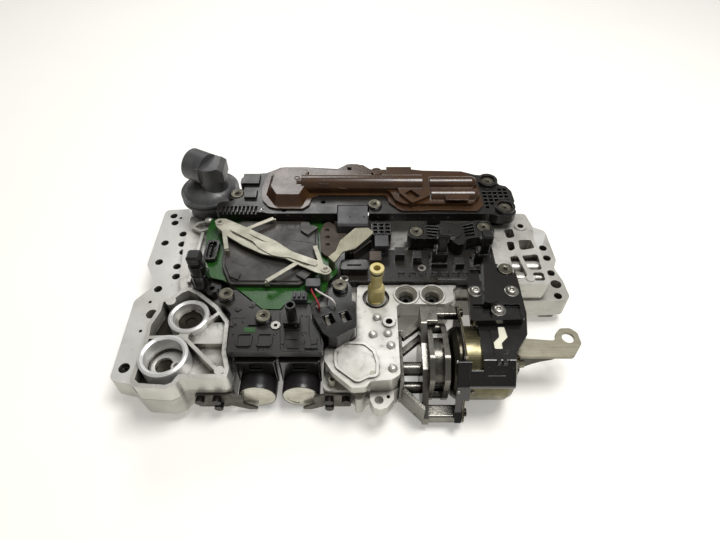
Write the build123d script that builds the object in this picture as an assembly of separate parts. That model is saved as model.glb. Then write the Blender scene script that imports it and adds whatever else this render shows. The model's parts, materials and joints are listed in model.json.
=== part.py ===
from build123d import *
import os
from math import atan2, cos, degrees, pi, radians, sin, tan

# Transmission mechatronic unit: a cast valve body with its electronics, solenoids, covers and actuator.
# Millimetres. The origin is the centre of the datum bore in the front lug, on the joint face between the
# two valve bodies. +X runs right, +Y to the back and +Z up. The unit rests on the feet of the lower body.
os.makedirs("parts", exist_ok=True)

# Driving heights, up from the joint face
FEET_Z = -33.0
LOWER_T = 22.0
LOWER_Z = -LOWER_T
SHEET_T = 1.2
WEB_Z = 14.0
BLOCK_Z = 20.0
CENTRE_Z = 18.0
PAD_Z = 20.0
BEAD_W = 2.2
BEAD_H = 1.2
RIGHT_Z = 22.0
MODULE_Z = 28.0
MODULE_T = 7.0
BOARD_T = 1.6
BOARD_Z = 24.4
COVER_T = 6.0
CLAMP_T = 1.5
CLAMP_Z = 36.5
CARRIER_Z = 30.0
CARRIER_T = 10.0
LID_T = 2.0

# Screws and holes
SCREW_D = 6.0
SCREW_HOLE_D = 6.6
HEAD_D = 13.0
HEAD_H = 5.0
DATUM_BORE_D = 7.2
PAN_D = 4.0
PAN_HEAD_D = 9.5
OIL_HOLE_D = 7.6
PILOT_HOLE_D = 3.0
OIL_HOLE_DEPTH = 12.0

# Clearances
SLIP = 0.3
RUNNING = 0.05

# Accumulator in the rear collar
PISTON_X = -163.0
PISTON_Y = 68.5
PISTON_D = 24.0
PISTON_TOP = 12.0
PISTON_TRAVEL = 3.0
PISTON_FOOT = SHEET_T + 2.8 + PISTON_TRAVEL
RING_Z = PISTON_TOP + 0.1

# Spool valves in the right block
SPOOL_YS = (118.5, 132.5)
SPOOL_Z = 10.5
SPOOL_D = 9.0
SPOOL_TRAVEL = 4.0
SPOOL_X = 112.0
BORE_MOUTH_X = 157.0
PLUG_T = 7.0
SPRING_ROOM = 8.0
SPOOL_L = BORE_MOUTH_X - PLUG_T - SPRING_ROOM - SPOOL_TRAVEL - SPOOL_X

# Solenoids
SOLENOID_D = 32.0
SOLENOID_XS = (-101.0, -64.7)
SOLENOID_FRONT = 10.4
SOLENOID_L = 39.0
SOLENOID_Z = -13.6
HEAD_TOP = 17.8

# Twin-well relay module and its two wires
WELLS = ((-41.0, 55.5, 13.0), (-27.5, 58.5, 12.5))
RELAY_Z = 34.0
WIRE_D = 1.6
RED_WIRE = [(-58.0, 91.2, 30.2), (-56.5, 80.5, 40.0), (-49.5, 66.0, 41.5), (-49.5, 66.0, RELAY_Z - 4)]
WHITE_WIRE = [(-54.5, 91.2, 30.2), (-52.5, 82.0, 39.0), (-36.5, 69.0, 41.5), (-36.5, 69.0, RELAY_Z - 4)]

# Parking lock actuator, along X
ACT_Y = 36.0
ACT_Z = -1.5
CAN_D = 62.0
CAN_X = 70.0
CAN_L = 42.0
CAN_R = CAN_D / 2
CAN_END = CAN_X + CAN_L
RIM_T = 1.0
HOUSING_X = CAN_X + 12.0
HOUSING_END = CAN_END + 1.0
BOSS_T = 4.0
ROD_D = 9.0
ROD_TRAVEL = 12.0
BUSH_D = 14.5
BUSH_X = HOUSING_END
BUSH_L = 5.0
ROD_BACK = BUSH_X - ROD_TRAVEL - 13.0
TANG_X = BUSH_X + BUSH_L + 1.0
ROD_END = TANG_X + 5.0
LEVER_T = 3.0
LEVER_Z = ACT_Z + BUSH_D / 2 + 2.25
LEVER_X = HOUSING_END + 1.5
EYE_X = CAN_END + 51.0
EYE_Y = ACT_Y + 17.0
EYE_D = 10.5
SADDLE_LOW = ACT_Z + CAN_R + 1.5
SADDLE_HIGH = SADDLE_LOW + 7.0
SADDLE_SCREWS = [(83.4, 81.8), (114.2, 81.8), (99.5, 61.3)]
SEAM_SCREWS = [(71.0, 22.0), (0.0, -21.0)]
GEAR_X0 = 41.0
GEAR_X1 = CAN_X - 12.5

# Oil pipe
PIPE_X = -1.0
PIPE_Y = 91.0
PIPE_D = 10.0
PIPE_BORE_D = 6.0
PIPE_TOP = 58.0

# Round connector at the left rear corner
PORT_X = -170.7
PORT_Y = 222.0
PORT_D = 59.0
PORT_Z = 36.0
TOWER_TOP = 70.0
BARREL_Z = 61.0
BARREL_D = 32.0
BARREL_L = 21.0
BARREL_TURN = -28.0

# Sensors and clamp on the electronics
CLAMP_EYES = [(-150.5, 168.5), (-46.0, 107.5)]
POST_X = -157.5
POST_Y = 104.5
TOWERS = [(59.5, 132.0), (98.0, 130.0)]
BRACKET_TOP = 36.0


def smooth(points, radius):
    """A closed flat outline whose corners are rounded as far as their two sides allow."""
    corners = [Vector(*point) for point in points]
    radii = []
    for index, corner in enumerate(corners):
        back = corner - corners[index - 1]
        ahead = corners[(index + 1) % len(corners)] - corner
        half_turn = radians(back.get_angle(ahead)) / 2
        room = 0.45 * min(back.length, ahead.length) / tan(half_turn)
        radii.append(min(radius, room))
    return make_face(FilletPolyline(*corners, radius=radii, close=True))


def prism(face, low, high):
    """The outline raised from one height to another."""
    return Pos(0, 0, low) * extrude(face, high - low, dir=(0, 0, 1))


def block(x0, x1, y0, y1, z0, z1):
    """A square-edged block between the given faces."""
    return Pos((x0 + x1) / 2, (y0 + y1) / 2, (z0 + z1) / 2) * Box(x1 - x0, y1 - y0, z1 - z0)


def soft_block(x0, x1, y0, y1, z0, z1, radius):
    """A block with rounded upright corners."""
    face = RectangleRounded(x1 - x0, y1 - y0, radius)
    return prism(Pos((x0 + x1) / 2, (y0 + y1) / 2) * face, z0, z1)


def upright(x, y, diameter, low, high):
    """An upright cylinder."""
    return Pos(x, y, (low + high) / 2) * Cylinder(diameter / 2, high - low)


def along_x(x0, x1, y, z, diameter):
    """A cylinder along X."""
    return Pos((x0 + x1) / 2, y, z) * Rot(0, 90, 0) * Cylinder(diameter / 2, x1 - x0)


def along_y(x, y0, y1, z, diameter):
    """A cylinder along Y."""
    return Pos(x, (y0 + y1) / 2, z) * Rot(90, 0, 0) * Cylinder(diameter / 2, y1 - y0)


def bar(start, end, width, low, high):
    """A straight rib between two points in plan."""
    dx = end[0] - start[0]
    dy = end[1] - start[1]
    turn = degrees(atan2(dy, dx))
    middle = Pos((start[0] + end[0]) / 2, (start[1] + end[1]) / 2, (low + high) / 2)
    return middle * Rot(0, 0, turn) * Box((dx * dx + dy * dy) ** 0.5, width, high - low)


def turned(profile):
    """A turned piece about Z, from (radius, height) corners."""
    return revolve(make_face(Plane.XZ * Polyline(*profile, close=True)), Axis.Z)


def side_plate(points, radius, x0, x1):
    """A plate across X from its (y, z) outline."""
    face = smooth(points, radius)
    return extrude(Plane.YZ.offset(x0) * face, x1 - x0, dir=(1, 0, 0))


def save(name, *solids):
    """Writes one sub-part, as one solid or a group of separate solids."""
    shape = solids[0] if len(solids) == 1 else Compound(children=list(solids))
    export_step(shape, "parts/" + name + ".step")


def cut_all(shape, cutters):
    """The shape less every cutter."""
    return shape - list(cutters)


# Outlines seen from above
LEFT_BLOCK = [
    (-196.0, 15.6), (-196.0, 5.8), (-190.0, 0.5), (-166.3, -1.2), (-160.0, 2.0), (-157.0, 8.5), (-120.0, 8.5),
    (-120.0, 18.0), (-125.0, 33.0), (-127.5, 64.0), (-140.0, 80.2), (-159.1, 96.1), (-169.4, 102.0),
    (-177.0, 98.5), (-184.4, 89.2), (-193.0, 88.1), (-192.5, 75.8), (-197.0, 59.7), (-194.6, 39.4),
]
CENTRE_BLOCK = [
    (-21.5, 0.8), (-10.0, 1.5), (-7.5, 6.8), (10.0, 8.2), (17.0, 13.0), (17.0, 84.0), (60.0, 84.0),
    (69.0, 88.5), (69.0, 101.0), (74.3, 106.0), (-18.0, 106.0), (-18.0, 46.0), (-38.8, 45.5), (-44.5, 36.0),
    (-44.5, 26.2), (-37.6, 15.0),
]
RIGHT_BLOCK = [
    (112.0, 104.0), (157.8, 104.0), (157.7, 142.8), (155.2, 161.0), (157.7, 180.0), (154.0, 199.0),
    (141.0, 199.0), (126.0, 183.0), (112.0, 179.0),
]
RIGHT_POCKETS = [
    [(128.0, 175.0), (137.0, 177.0), (137.0, 165.0), (129.0, 162.5)],
    [(139.7, 160.5), (152.0, 161.0), (153.2, 149.5), (138.6, 146.5)],
    [(127.6, 158.0), (134.5, 159.0), (134.2, 148.5), (127.6, 144.5)],
    [(138.4, 139.5), (154.0, 141.5), (154.0, 121.5), (142.2, 121.5)],
    [(127.0, 138.0), (134.6, 139.5), (138.8, 114.0), (127.2, 108.5)],
    [(144.4, 118.0), (154.0, 118.0), (154.0, 108.0), (143.6, 108.0)],
]
TAPPED_BOSS = (145.3, 179.5)
WEB = [
    (-120.0, 52.0), (17.0, 52.0), (17.0, 86.0), (70.0, 86.0), (72.0, 104.0), (157.8, 104.0), (157.7, 142.8),
    (154.9, 164.6), (157.7, 186.3), (152.8, 196.8), (142.0, 205.0), (-192.0, 205.0), (-190.0, 160.0),
    (-184.0, 118.0), (-178.0, 97.0), (-140.0, 78.0), (-127.0, 62.0),
]
LOWER_BODY = [
    (-223.0, 18.2), (-205.0, 14.4), (-196.0, 5.8), (-190.0, 0.5), (-166.3, -1.2), (-160.0, 2.0),
    (-157.0, 8.5),
    (-120.0, 8.5), (-120.0, 52.0), (-46.0, 52.0), (-46.0, 8.5), (-19.4, 8.5), (-19.4, 0.0), (-13.5, 0.0),
    (-10.0, 7.6), (17.0, 7.6), (17.0, 84.0), (62.0, 84.0), (72.0, 101.8), (163.2, 101.8), (178.5, 103.0),
    (182.3, 107.0), (180.9, 126.4), (176.4, 143.4), (181.1, 154.2), (180.0, 196.2), (168.7, 202.3),
    (150.0, 206.0), (-186.0, 206.0), (-202.4, 231.0), (-228.4, 229.4), (-226.9, 148.0), (-212.5, 121.5),
    (-226.5, 102.0),
]
LUG = [(-7.3, 10.0), (-7.3, 0.0), (-4.5, -6.5), (0.6, -8.7), (7.0, -6.0), (12.3, 1.0), (12.4, 10.0)]
LUG_T = 12.0

POCKETS = 7
POCKET_W = 36.0
POCKET_STEP = 45.0

OIL_HOLES = [
    (-217.3, 219.7), (-213.5, 208.5), (-201.1, 191.6), (-216.7, 178.3), (-198.8, 176.8), (-195.2, 165.4),
    (-216.0, 151.5), (-196.6, 145.4), (-194.5, 132.2), (-207.9, 116.4), (172.7, 157.0), (171.8, 136.8),
    (172.0, 171.1), (171.3, 107.8),
]
WIDE_OIL_HOLES = [(-206.1, 86.6), (173.2, 122.6)]
PILOT_HOLES = [(-208.9, 216.4), (-211.3, 100.6), (-210.9, 67.6), (7.6, 2.9)]
FEET = [
    (-205.0, 215.0), (-212.0, 60.0), (-178.0, 14.0), (-60.0, 190.0), (8.0, 70.0), (150.0, 190.0),
    (168.0, 115.0),
]
# Flange screws as x, y and the height of the seat under the head
FLANGE_SCREWS = [
    (-131.4, 84.0, MODULE_Z), (-96.4, 60.2, MODULE_Z), (-32.9, 94.2, MODULE_Z), (-0.7, 190.5, 38.0),
    (38.7, 158.5, 31.0), (104.0, 164.5, 31.0), (116.6, 227.0, 37.0), (127.0, 186.0, 37.0),
    (114.0, 108.3, SADDLE_LOW + 2), (-140.0, 208.5, 36.0),
]
SCREW_END = -14.0
FRONT_SCREWS = FLANGE_SCREWS[0:2]
THROUGH_SCREWS = [place for place in FLANGE_SCREWS if place[1] < 206]
REAR_SCREWS = [place for place in FLANGE_SCREWS if place[1] > 206]
CARRIER_SCREWS = [FLANGE_SCREWS[3], FLANGE_SCREWS[6], FLANGE_SCREWS[7], FLANGE_SCREWS[9]]
BUS_SLOT = [
    (98.3, 50.0), (103.7, 50.0), (104.6, 39.8), (98.8, 34.0), (98.6, 28.4), (92.3, 28.4), (92.3, 34.8),
    (97.6, 40.0),
]
FRONT_RING = (-174.4, 27.4)
FRONT_RING_D = 40.0
FRONT_BORE_D = 31.5
FRONT_BORE_FLOOR = 9.0
RING_SEAT_D = 29.5
REAR_RING_D = 35.0
REAR_BORE_D = 27.0
CONE_PORTS = [(26.3, 94.5), (49.8, 94.5)]
CONE_D = 20.0
PORT_BORE_D = 13.5
CUP_D = 12.0
CUP_TOP = 9.0
PAD = [
    (-36.3, 24.9), (-36.6, 34.5), (-27.8, 43.3), (-11.1, 42.3), (-3.0, 34.5), (0.0, 23.0), (-0.5, 10.0),
    (-9.0, 9.0), (-17.6, 4.0), (-35.3, 18.4),
]
DOMES = [(-0.6, 68.9), (-4.3, 51.1), (8.3, 52.1), (10.4, 40.0), (11.1, 18.1)]


def screw_holes(low, high, screws=FLANGE_SCREWS):
    """Clearance holes for the flange screws through one layer."""
    return [upright(x, y, SCREW_HOLE_D, low, high) for x, y, seat in screws]


def lower_valve_body():
    """The lower casting: the broad flange with its oil holes, the front lug and the feet below."""
    body = prism(smooth(LOWER_BODY, 6), LOWER_Z, 0)
    body += prism(smooth(LUG, 3), -LUG_T, 0)
    # The underside is relieved between the walls, as a pressure casting is
    pocket = block(-POCKET_W / 2, POCKET_W / 2, 128, 128 + POCKET_W, LOWER_Z, LOWER_Z + 7)
    body = cut_all(body, [Pos(-170 + index * POCKET_STEP) * pocket for index in range(POCKETS)])
    body += [block(x - 7, x + 7, y - 7, y + 7, FEET_Z, LOWER_Z + 8) for x, y in FEET]
    holes = screw_holes(SCREW_END - 2, 0, THROUGH_SCREWS)
    holes += [upright(x, y, OIL_HOLE_D, -OIL_HOLE_DEPTH, 0) for x, y in OIL_HOLES]
    holes += [upright(x, y, OIL_HOLE_D + 2.5, -OIL_HOLE_DEPTH, 0) for x, y in WIDE_OIL_HOLES]
    holes += [upright(x, y, PILOT_HOLE_D, -6, 0) for x, y in PILOT_HOLES]
    holes.append(upright(0, 0, DATUM_BORE_D, -LUG_T, 0))
    holes.append(upright(-214.1, 29.7, 9.5, -6, 0))
    holes.append(upright(-214.1, 29.7, 5.2, -14, 0))
    return cut_all(body, holes)


def upper_outline():
    """The footprint of the upper casting, which the separator plate shares."""
    return smooth(WEB, 5) + smooth(LEFT_BLOCK, 5) + smooth(CENTRE_BLOCK, 4)


def separator_plate():
    """The steel sheet between the two castings."""
    plate = prism(upper_outline(), 0, SHEET_T)
    plate -= block(-60, 20, -10, 7.6, 0, SHEET_T)
    plate -= block(-60, -17, -10, 25, 0, SHEET_T)
    plate -= upright(PORT_X, PORT_Y, PORT_D - 10 + 2 * SLIP, 0, SHEET_T)
    return cut_all(plate, screw_holes(0, SHEET_T, THROUGH_SCREWS))


def ring_collar(x, y, outer, inner, low, high):
    """A machined collar with a rounded lip."""
    lip = 1.2
    crest = (outer + inner) / 4
    profile = [(0, low), (outer / 2, low), (outer / 2, high - lip), (crest, high), (inner / 2, high - lip),
               (0, high - lip)]
    return Pos(x, y) * turned(profile)


def upper_valve_body():
    """The upper casting: ribbed left block with two collars, centre block, web and ribbed right block."""
    body = prism(smooth(WEB, 5), SHEET_T, WEB_Z)
    body += prism(smooth(LEFT_BLOCK, 5), SHEET_T, BLOCK_Z)
    centre = prism(smooth(CENTRE_BLOCK, 4), SHEET_T, CENTRE_Z)
    centre -= block(-60, 20, -10, 7.6, SHEET_T, 10)
    body += centre - block(-60, -17, -10, 25, SHEET_T, 10)
    body += prism(smooth(RIGHT_BLOCK, 4), WEB_Z - 2, RIGHT_Z)
    # A looped rib with a round boss stands between the post and the connector
    loop = [
        (-186.0, 181.5), (-180.5, 189.5), (-170.0, 193.0), (-163.0, 190.0), (-164.5, 180.0), (-175.0, 175.5),
    ]
    body += prism(smooth(loop, 3), WEB_Z - 1, WEB_Z + 5)
    body -= prism(offset(smooth(loop, 3), -2.6), WEB_Z, WEB_Z + 5)
    knob = turned([(0, -3), (4.5, -3), (4.5, 3), (3.4, 5), (1.8, 6), (0, 6.2)])
    body += Pos(-169.5, 192.0, WEB_Z + 2) * knob
    body += bar((-173.0, 176.0), (-173.0, 110.0), 3.0, WEB_Z - 1, WEB_Z + 4)
    body = left_block_detail(body)
    body = centre_block_detail(body)
    body = right_block_detail(body)
    body -= upright(PORT_X, PORT_Y, PORT_D - 10 + 2 * SLIP, SHEET_T, WEB_Z)
    return cut_all(body, screw_holes(SHEET_T, RIGHT_Z + 1, THROUGH_SCREWS))


def left_block_detail(body):
    """The open pockets, diagonal ribs, collars and bosses of the left block."""
    wall = 3.6
    inner = offset(make_face(Polyline(*LEFT_BLOCK, close=True)), -wall, kind=Kind.INTERSECTION)
    core = prism(inner, 8, BLOCK_Z + 1)
    hub = (-163.5, 48.0)
    for end in ((-134.5, 76.0), (-129.5, 16.0), (-192.5, 47.0)):
        core -= bar(hub, end, 3.2, 8, BLOCK_Z + 1)
    core -= upright(hub[0], hub[1], 9, 8, BLOCK_Z + 1)
    core -= upright(-127.5, 15.5, 8, 8, BLOCK_Z + 1)
    core -= upright(-183.0, 86.0, 9, 8, BLOCK_Z + 1)
    core -= block(-160.0, -124.0, 44.0, 66.0, 8, 15)
    body -= core
    body += ring_collar(FRONT_RING[0], FRONT_RING[1], FRONT_RING_D, FRONT_BORE_D, 8, BLOCK_Z + 4)
    body += ring_collar(PISTON_X, PISTON_Y, REAR_RING_D, REAR_BORE_D, 8, BLOCK_Z + 2)
    body -= upright(FRONT_RING[0], FRONT_RING[1], FRONT_BORE_D, FRONT_BORE_FLOOR, BLOCK_Z + 5)
    body -= upright(FRONT_RING[0], FRONT_RING[1], RING_SEAT_D, 3, FRONT_BORE_FLOOR)
    body -= upright(PISTON_X, PISTON_Y, REAR_BORE_D, RING_Z, BLOCK_Z + 5)
    body -= upright(PISTON_X, PISTON_Y, PISTON_D, SHEET_T, BLOCK_Z)
    return body


def centre_block_detail(body):
    """The raised pad, its domes, the pipe collar and the two conical ports."""
    body += prism(smooth(PAD, 6), CENTRE_Z, PAD_Z)
    body -= prism(offset(smooth(PAD, 6), -BEAD_W), PAD_Z - BEAD_H, PAD_Z)
    body -= upright(-5.4, 13.6, 4.0, PAD_Z - BEAD_H - 2, PAD_Z)
    dome = turned([(0, -1), (3.8, -1), (3.8, 0.3), (3.3, 1.8), (2.0, 3.0), (0, 3.4)])
    body += [Pos(x, y, CENTRE_Z) * dome for x, y in DOMES]
    body += upright(9.6, 63.6, 11, CENTRE_Z, CENTRE_Z + 2.2)
    body -= upright(9.6, 63.6, 6, 6, CENTRE_Z + 3)
    body -= upright(PIPE_X, PIPE_Y, 24, CENTRE_Z - 4, CENTRE_Z + 1)
    body += upright(PIPE_X, PIPE_Y, 18, CENTRE_Z - 5, CENTRE_Z - 1)
    body -= upright(PIPE_X, PIPE_Y, PIPE_D + 2 * SLIP, 4, CENTRE_Z + 1)
    for x, y in CONE_PORTS:
        body += upright(x, y, CONE_D + 3, CENTRE_Z, CENTRE_Z + 1)
        cone = Pos(x, y, CENTRE_Z - 1.5) * Cone(PORT_BORE_D / 2, CONE_D / 2, 5)
        body -= cone + upright(x, y, PORT_BORE_D, CUP_TOP, CENTRE_Z)
        body -= upright(x, y, CUP_D, 4, CUP_TOP)
    return body


def right_block_detail(body):
    """The rib pockets, the valve bores in their rounded walls and the tapped boss."""
    floor = 8.0
    body = cut_all(body, [prism(smooth(points, 2.5), floor, RIGHT_Z) for points in RIGHT_POCKETS])
    x, y = TAPPED_BOSS
    body += upright(x, y, 12, WEB_Z, RIGHT_Z + 1)
    body -= upright(x, y, 6, floor, RIGHT_Z + 1)
    body += upright(140.5, 110.5, 8, floor, RIGHT_Z + 0.8)
    for y in SPOOL_YS:
        body += along_x(112, 156, y, SPOOL_Z, SPOOL_D + 7)
    for y in SPOOL_YS:
        body -= along_x(SPOOL_X - 0.1, BORE_MOUTH_X + 1, y, SPOOL_Z, SPOOL_D + 2 * RUNNING)
    return body


def accumulator_piston():
    """The cup that moves down in the rear collar against its spring."""
    top = PISTON_TOP
    cup = upright(PISTON_X, PISTON_Y, PISTON_D - 2 * RUNNING, PISTON_FOOT, top)
    cup -= upright(PISTON_X, PISTON_Y, PISTON_D - 8, PISTON_FOOT, top - 2.5)
    return cup - upright(PISTON_X, PISTON_Y, 10, top - 1, top)


def coil(radius, wire, length, turns):
    """A compression spring of square wire with its axis on Z and its foot at zero."""
    rise = length - wire
    path = Helix(rise / turns, rise, radius)
    start = Plane(origin=path @ 0, x_dir=(1, 0, 0), z_dir=path % 0)
    wound = sweep(start * Rectangle(wire, wire), path=path, is_frenet=True)
    return Pos(0, 0, wire / 2) * wound


def accumulator_spring():
    """The spring under the accumulator piston."""
    foot = SHEET_T + 0.1
    length = PISTON_TOP - 2.5 - foot - 0.1
    return Pos(PISTON_X, PISTON_Y, foot) * coil(6.5, 1.2, length, 3)


def retaining_ring():
    """The split ring above the piston, sprung into the wide part of the collar."""
    low = RING_Z
    ring = upright(PISTON_X, PISTON_Y, REAR_BORE_D, low, low + 1.5)
    ring -= upright(PISTON_X, PISTON_Y, PISTON_D - 3, low, low + 1.5)
    return ring - block(PISTON_X - 2, PISTON_X + 2, PISTON_Y, PISTON_Y + 20, low, low + 1.5)


def port_ring():
    """The bright seat ring on the floor of the front collar."""
    x, y = FRONT_RING
    ring = upright(x, y, RING_SEAT_D - 2 * RUNNING, 3, 6)
    ring += upright(x + 8, y - 1, 10, 6, FRONT_BORE_FLOOR - 0.2)
    ring -= upright(x - 4, y + 1, 15, 3, 6)
    return ring - upright(x + 8, y - 1, 6, 3, FRONT_BORE_FLOOR)


def spool(y):
    """A valve spool with three lands and a spring nose."""
    lands = ((0, 6), (10, 16), (20, 26))
    body = along_x(SPOOL_X, SPOOL_X + SPOOL_L, y, SPOOL_Z, SPOOL_D - 4)
    for start, end in lands:
        body += along_x(SPOOL_X + start, SPOOL_X + end, y, SPOOL_Z, SPOOL_D)
    return body


def spool_spring(y):
    """The spring between a spool and its end plug."""
    start = SPOOL_X + SPOOL_L + 0.1
    length = BORE_MOUTH_X - PLUG_T - 0.1 - start
    return Pos(start, y, SPOOL_Z) * Rot(0, 90, 0) * coil(SPOOL_D / 2 - 1.2, 0.9, length, 3)


def spool_plug(y):
    """The plug that closes a valve bore at the right wall."""
    return along_x(BORE_MOUTH_X - PLUG_T, BORE_MOUTH_X, y, SPOOL_Z, SPOOL_D)


def cap_plug():
    """The small round core plug in the floor of the pad."""
    floor = PAD_Z - BEAD_H
    return upright(-5.4, 13.6, 4.0, floor - 2, floor + 0.5)


def port_cups():
    """The dark check valve cups inside the conical ports."""
    cups = []
    for x, y in CONE_PORTS:
        cups.append(upright(x, y, CUP_D, 4, CUP_TOP - 0.2) - upright(x, y, 5, 4, CUP_TOP))
    return cups


def oil_pipe():
    """The yellow moulded oil pipe with its stepped foot and top collar."""
    r = PIPE_D / 2
    profile = [
        (PIPE_BORE_D / 2, 4.2), (r, 4.2), (r, CENTRE_Z - 1), (r + 2.5, CENTRE_Z - 1), (r + 2.5, 32.0),
        (r + 0.6, 36.0), (r, 36.0), (r, PIPE_TOP - 7), (r + 1.2, PIPE_TOP - 6), (r + 1.2, PIPE_TOP - 4.8),
        (r - 0.8, PIPE_TOP - 4.8), (r - 0.8, PIPE_TOP - 2.8), (r + 1.2, PIPE_TOP - 2.8), (r + 1.2, PIPE_TOP),
        (PIPE_BORE_D / 2, PIPE_TOP),
    ]
    pipe = Pos(PIPE_X, PIPE_Y) * turned(profile)
    return pipe - block(PIPE_X - 9, PIPE_X + 9, PIPE_Y - 9, PIPE_Y - 5.6, CENTRE_Z, 33)


def pipe_seal():
    """The seal ring in the groove at the top of the pipe."""
    low = PIPE_TOP - 4.7
    ring = upright(PIPE_X, PIPE_Y, PIPE_D + 2.2, low, low + 1.8)
    return ring - upright(PIPE_X, PIPE_Y, PIPE_D - 1.6, low, low + 1.8)


def flange_screw(x, y, seat):
    """A flange screw with a six-sided socket in its broad head."""
    high = seat + HEAD_H
    profile = [
        (0, SCREW_END), (SCREW_D / 2, SCREW_END), (SCREW_D / 2, seat), (HEAD_D / 2, seat),
        (HEAD_D / 2, high), (0, high),
    ]
    body = Pos(x, y) * turned(profile)
    socket = prism(Pos(x, y) * RegularPolygon(2.9, 6), high - 3, high)
    return body - socket


def short_flange_screw(x, y, seat, end):
    """A flange screw of the same head that ends in a plastic boss."""
    full = flange_screw(x, y, seat)
    return full - upright(x, y, SCREW_D + 2, SCREW_END - 1, end)


def pan_screw(x, y, seat, end):
    """A pan head screw with its captive washer."""
    profile = [
        (0, end), (PAN_D / 2, end), (PAN_D / 2, seat), (PAN_HEAD_D / 2 + 1.4, seat),
        (PAN_HEAD_D / 2 + 1.4, seat + 0.9), (PAN_HEAD_D / 2 - 1, seat + 0.9),
        (PAN_HEAD_D / 2 - 2.0, seat + 3.4), (0, seat + 3.4),
    ]
    body = Pos(x, y) * turned(profile)
    return body - prism(Pos(x, y) * RegularPolygon(1.7, 6), seat + 1.4, seat + 3.4)


def solenoid_can(x):
    """A sealed solenoid can with rolled shoulders."""
    r = SOLENOID_D / 2
    l = SOLENOID_L
    profile = [(0, 1.0), (r - 1.0, 1.0), (r - 1.0, 0), (r - 0.4, 0), (r, 3.5), (r, l - 2), (r - 2, l), (0, l)]
    return Pos(x, SOLENOID_FRONT, SOLENOID_Z) * Rot(-90, 0, 0) * turned(profile)


def solenoid_disc(x):
    """The bright end disc that is rolled into the front of the can."""
    disc = along_y(x, SOLENOID_FRONT, SOLENOID_FRONT + 1, SOLENOID_Z, SOLENOID_D - 2.2)
    slot = along_y(x, SOLENOID_FRONT, SOLENOID_FRONT + 0.6, SOLENOID_Z, SOLENOID_D - 8)
    slot -= along_y(x, SOLENOID_FRONT, SOLENOID_FRONT + 0.6, SOLENOID_Z, SOLENOID_D - 12)
    slot &= block(x - 20, x - 2, SOLENOID_FRONT, SOLENOID_FRONT + 1, SOLENOID_Z - 20, SOLENOID_Z - 2)
    return disc - slot


def solenoid_head(x):
    """The black connector head that saddles the rear of the can."""
    head = soft_block(x - 17, x + 17, 24, 51, SOLENOID_Z, HEAD_TOP, 2)
    head -= along_y(x, 20, 52, SOLENOID_Z, SOLENOID_D + 0.2)
    notch = block(x - 5, x + 5, 24, 27, 6, 14)
    return head - notch


def bracket_outline(sign, x_can):
    """The (x, z) outline of one retaining bracket; sign says on which side of the can its ears lie."""
    far = 50 if sign < 0 else 42
    return [
        (x_can - sign * 2, SOLENOID_Z - 15), (x_can + sign * 8, SOLENOID_Z - 15),
        (x_can + sign * 22, SOLENOID_Z - 8), (x_can + sign * 26, -23.5), (x_can + sign * far, -23.5),
        (x_can + sign * far, -4.0), (x_can + sign * 20, -4.0), (x_can + sign * 11, SOLENOID_Z + 6),
        (x_can + sign * 12, SOLENOID_Z - 5),
    ]


def solenoid_bracket(sign, x_can):
    """A stamped steel bracket whose fork holds the rim of one can."""
    face = smooth(bracket_outline(sign, x_can), 2.5)
    plate = extrude(Plane.XZ.offset(-SOLENOID_FRONT + 4) * face, 2, dir=(0, 1, 0))
    for x, z in bracket_screw_places(sign, x_can):
        plate -= along_y(x, 0, 12, z, 5.2)
    return plate


def bracket_screw_places(sign, x_can):
    """Where the socket screws of one bracket sit."""
    if sign < 0:
        return [(x_can - 46, -9.0), (x_can - 32, -9.0), (x_can - 32, -19.0)]
    return [(x_can + 24, -9.0), (x_can + 38, -9.0), (x_can + 24, -19.0)]


def bracket_screw(x, z):
    """A socket screw along Y."""
    front = SOLENOID_FRONT - 4
    return along_y(x, front - 4.5, front, z, 7.5) + along_y(x, front, front + 2, z, 5.0)


def front_module():
    """The black sensor and contact module over the solenoids."""
    outline = [
        (-122.4, 27.3), (-44.9, 27.3), (-44.9, 36.0), (-46.5, 42.0), (-57.0, 62.0), (-58.0, 76.0),
        (-80.6, 74.5), (-82.0, 69.0), (-99.0, 69.6), (-114.0, 83.0), (-124.3, 92.0), (-136.5, 91.0),
        (-138.0, 81.0), (-131.0, 74.0), (-125.0, 66.0), (-123.0, 43.8),
    ]
    body = prism(smooth(outline, 3), MODULE_Z - MODULE_T, MODULE_Z)
    body += upright(-131.4, 84.0, 15, WEB_Z, MODULE_Z)
    for x in SOLENOID_XS:
        body += block(x - 12, x + 12, 29, 47, HEAD_TOP, MODULE_Z - MODULE_T)
    body += upright(-96.4, 60.2, 14, WEB_Z, MODULE_Z)
    for x in (-109.5, -93.0):
        body += soft_block(x - 6.5, x + 6.5, 32, 45, MODULE_Z, MODULE_Z + 1.6, 3)
        body -= block(x - 5.0, x + 5.0, 33.5, 43.5, MODULE_Z + 0.6, MODULE_Z + 1.6)
    body += block(-60, -50, 30, 41, MODULE_Z, MODULE_Z + 1.6)
    body -= block(-108.5, -98.0, 50, 54, MODULE_Z - 1.5, MODULE_Z)
    body -= block(-77, -66, 31, 49, MODULE_Z - 1.2, MODULE_Z)
    for x, y in ((-122.0, 55.0), (-119.5, 71.0), (-108.1, 75.3)):
        body += upright(x, y, 6, MODULE_Z, MODULE_Z + 1)
    body -= upright(-85.5, 53.1, 5.2, MODULE_Z - 4, MODULE_Z)
    return cut_all(body, screw_holes(WEB_Z, MODULE_Z + 1, FRONT_SCREWS))


def module_eyelet():
    """The pale eyelet of the front module."""
    eyelet = upright(-85.5, 53.1, 5.0, MODULE_Z - 4, MODULE_Z)
    eyelet += upright(-85.5, 53.1, 8, MODULE_Z, MODULE_Z + 1)
    return eyelet - upright(-85.5, 53.1, 3.2, MODULE_Z - 4, MODULE_Z + 1)


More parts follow.
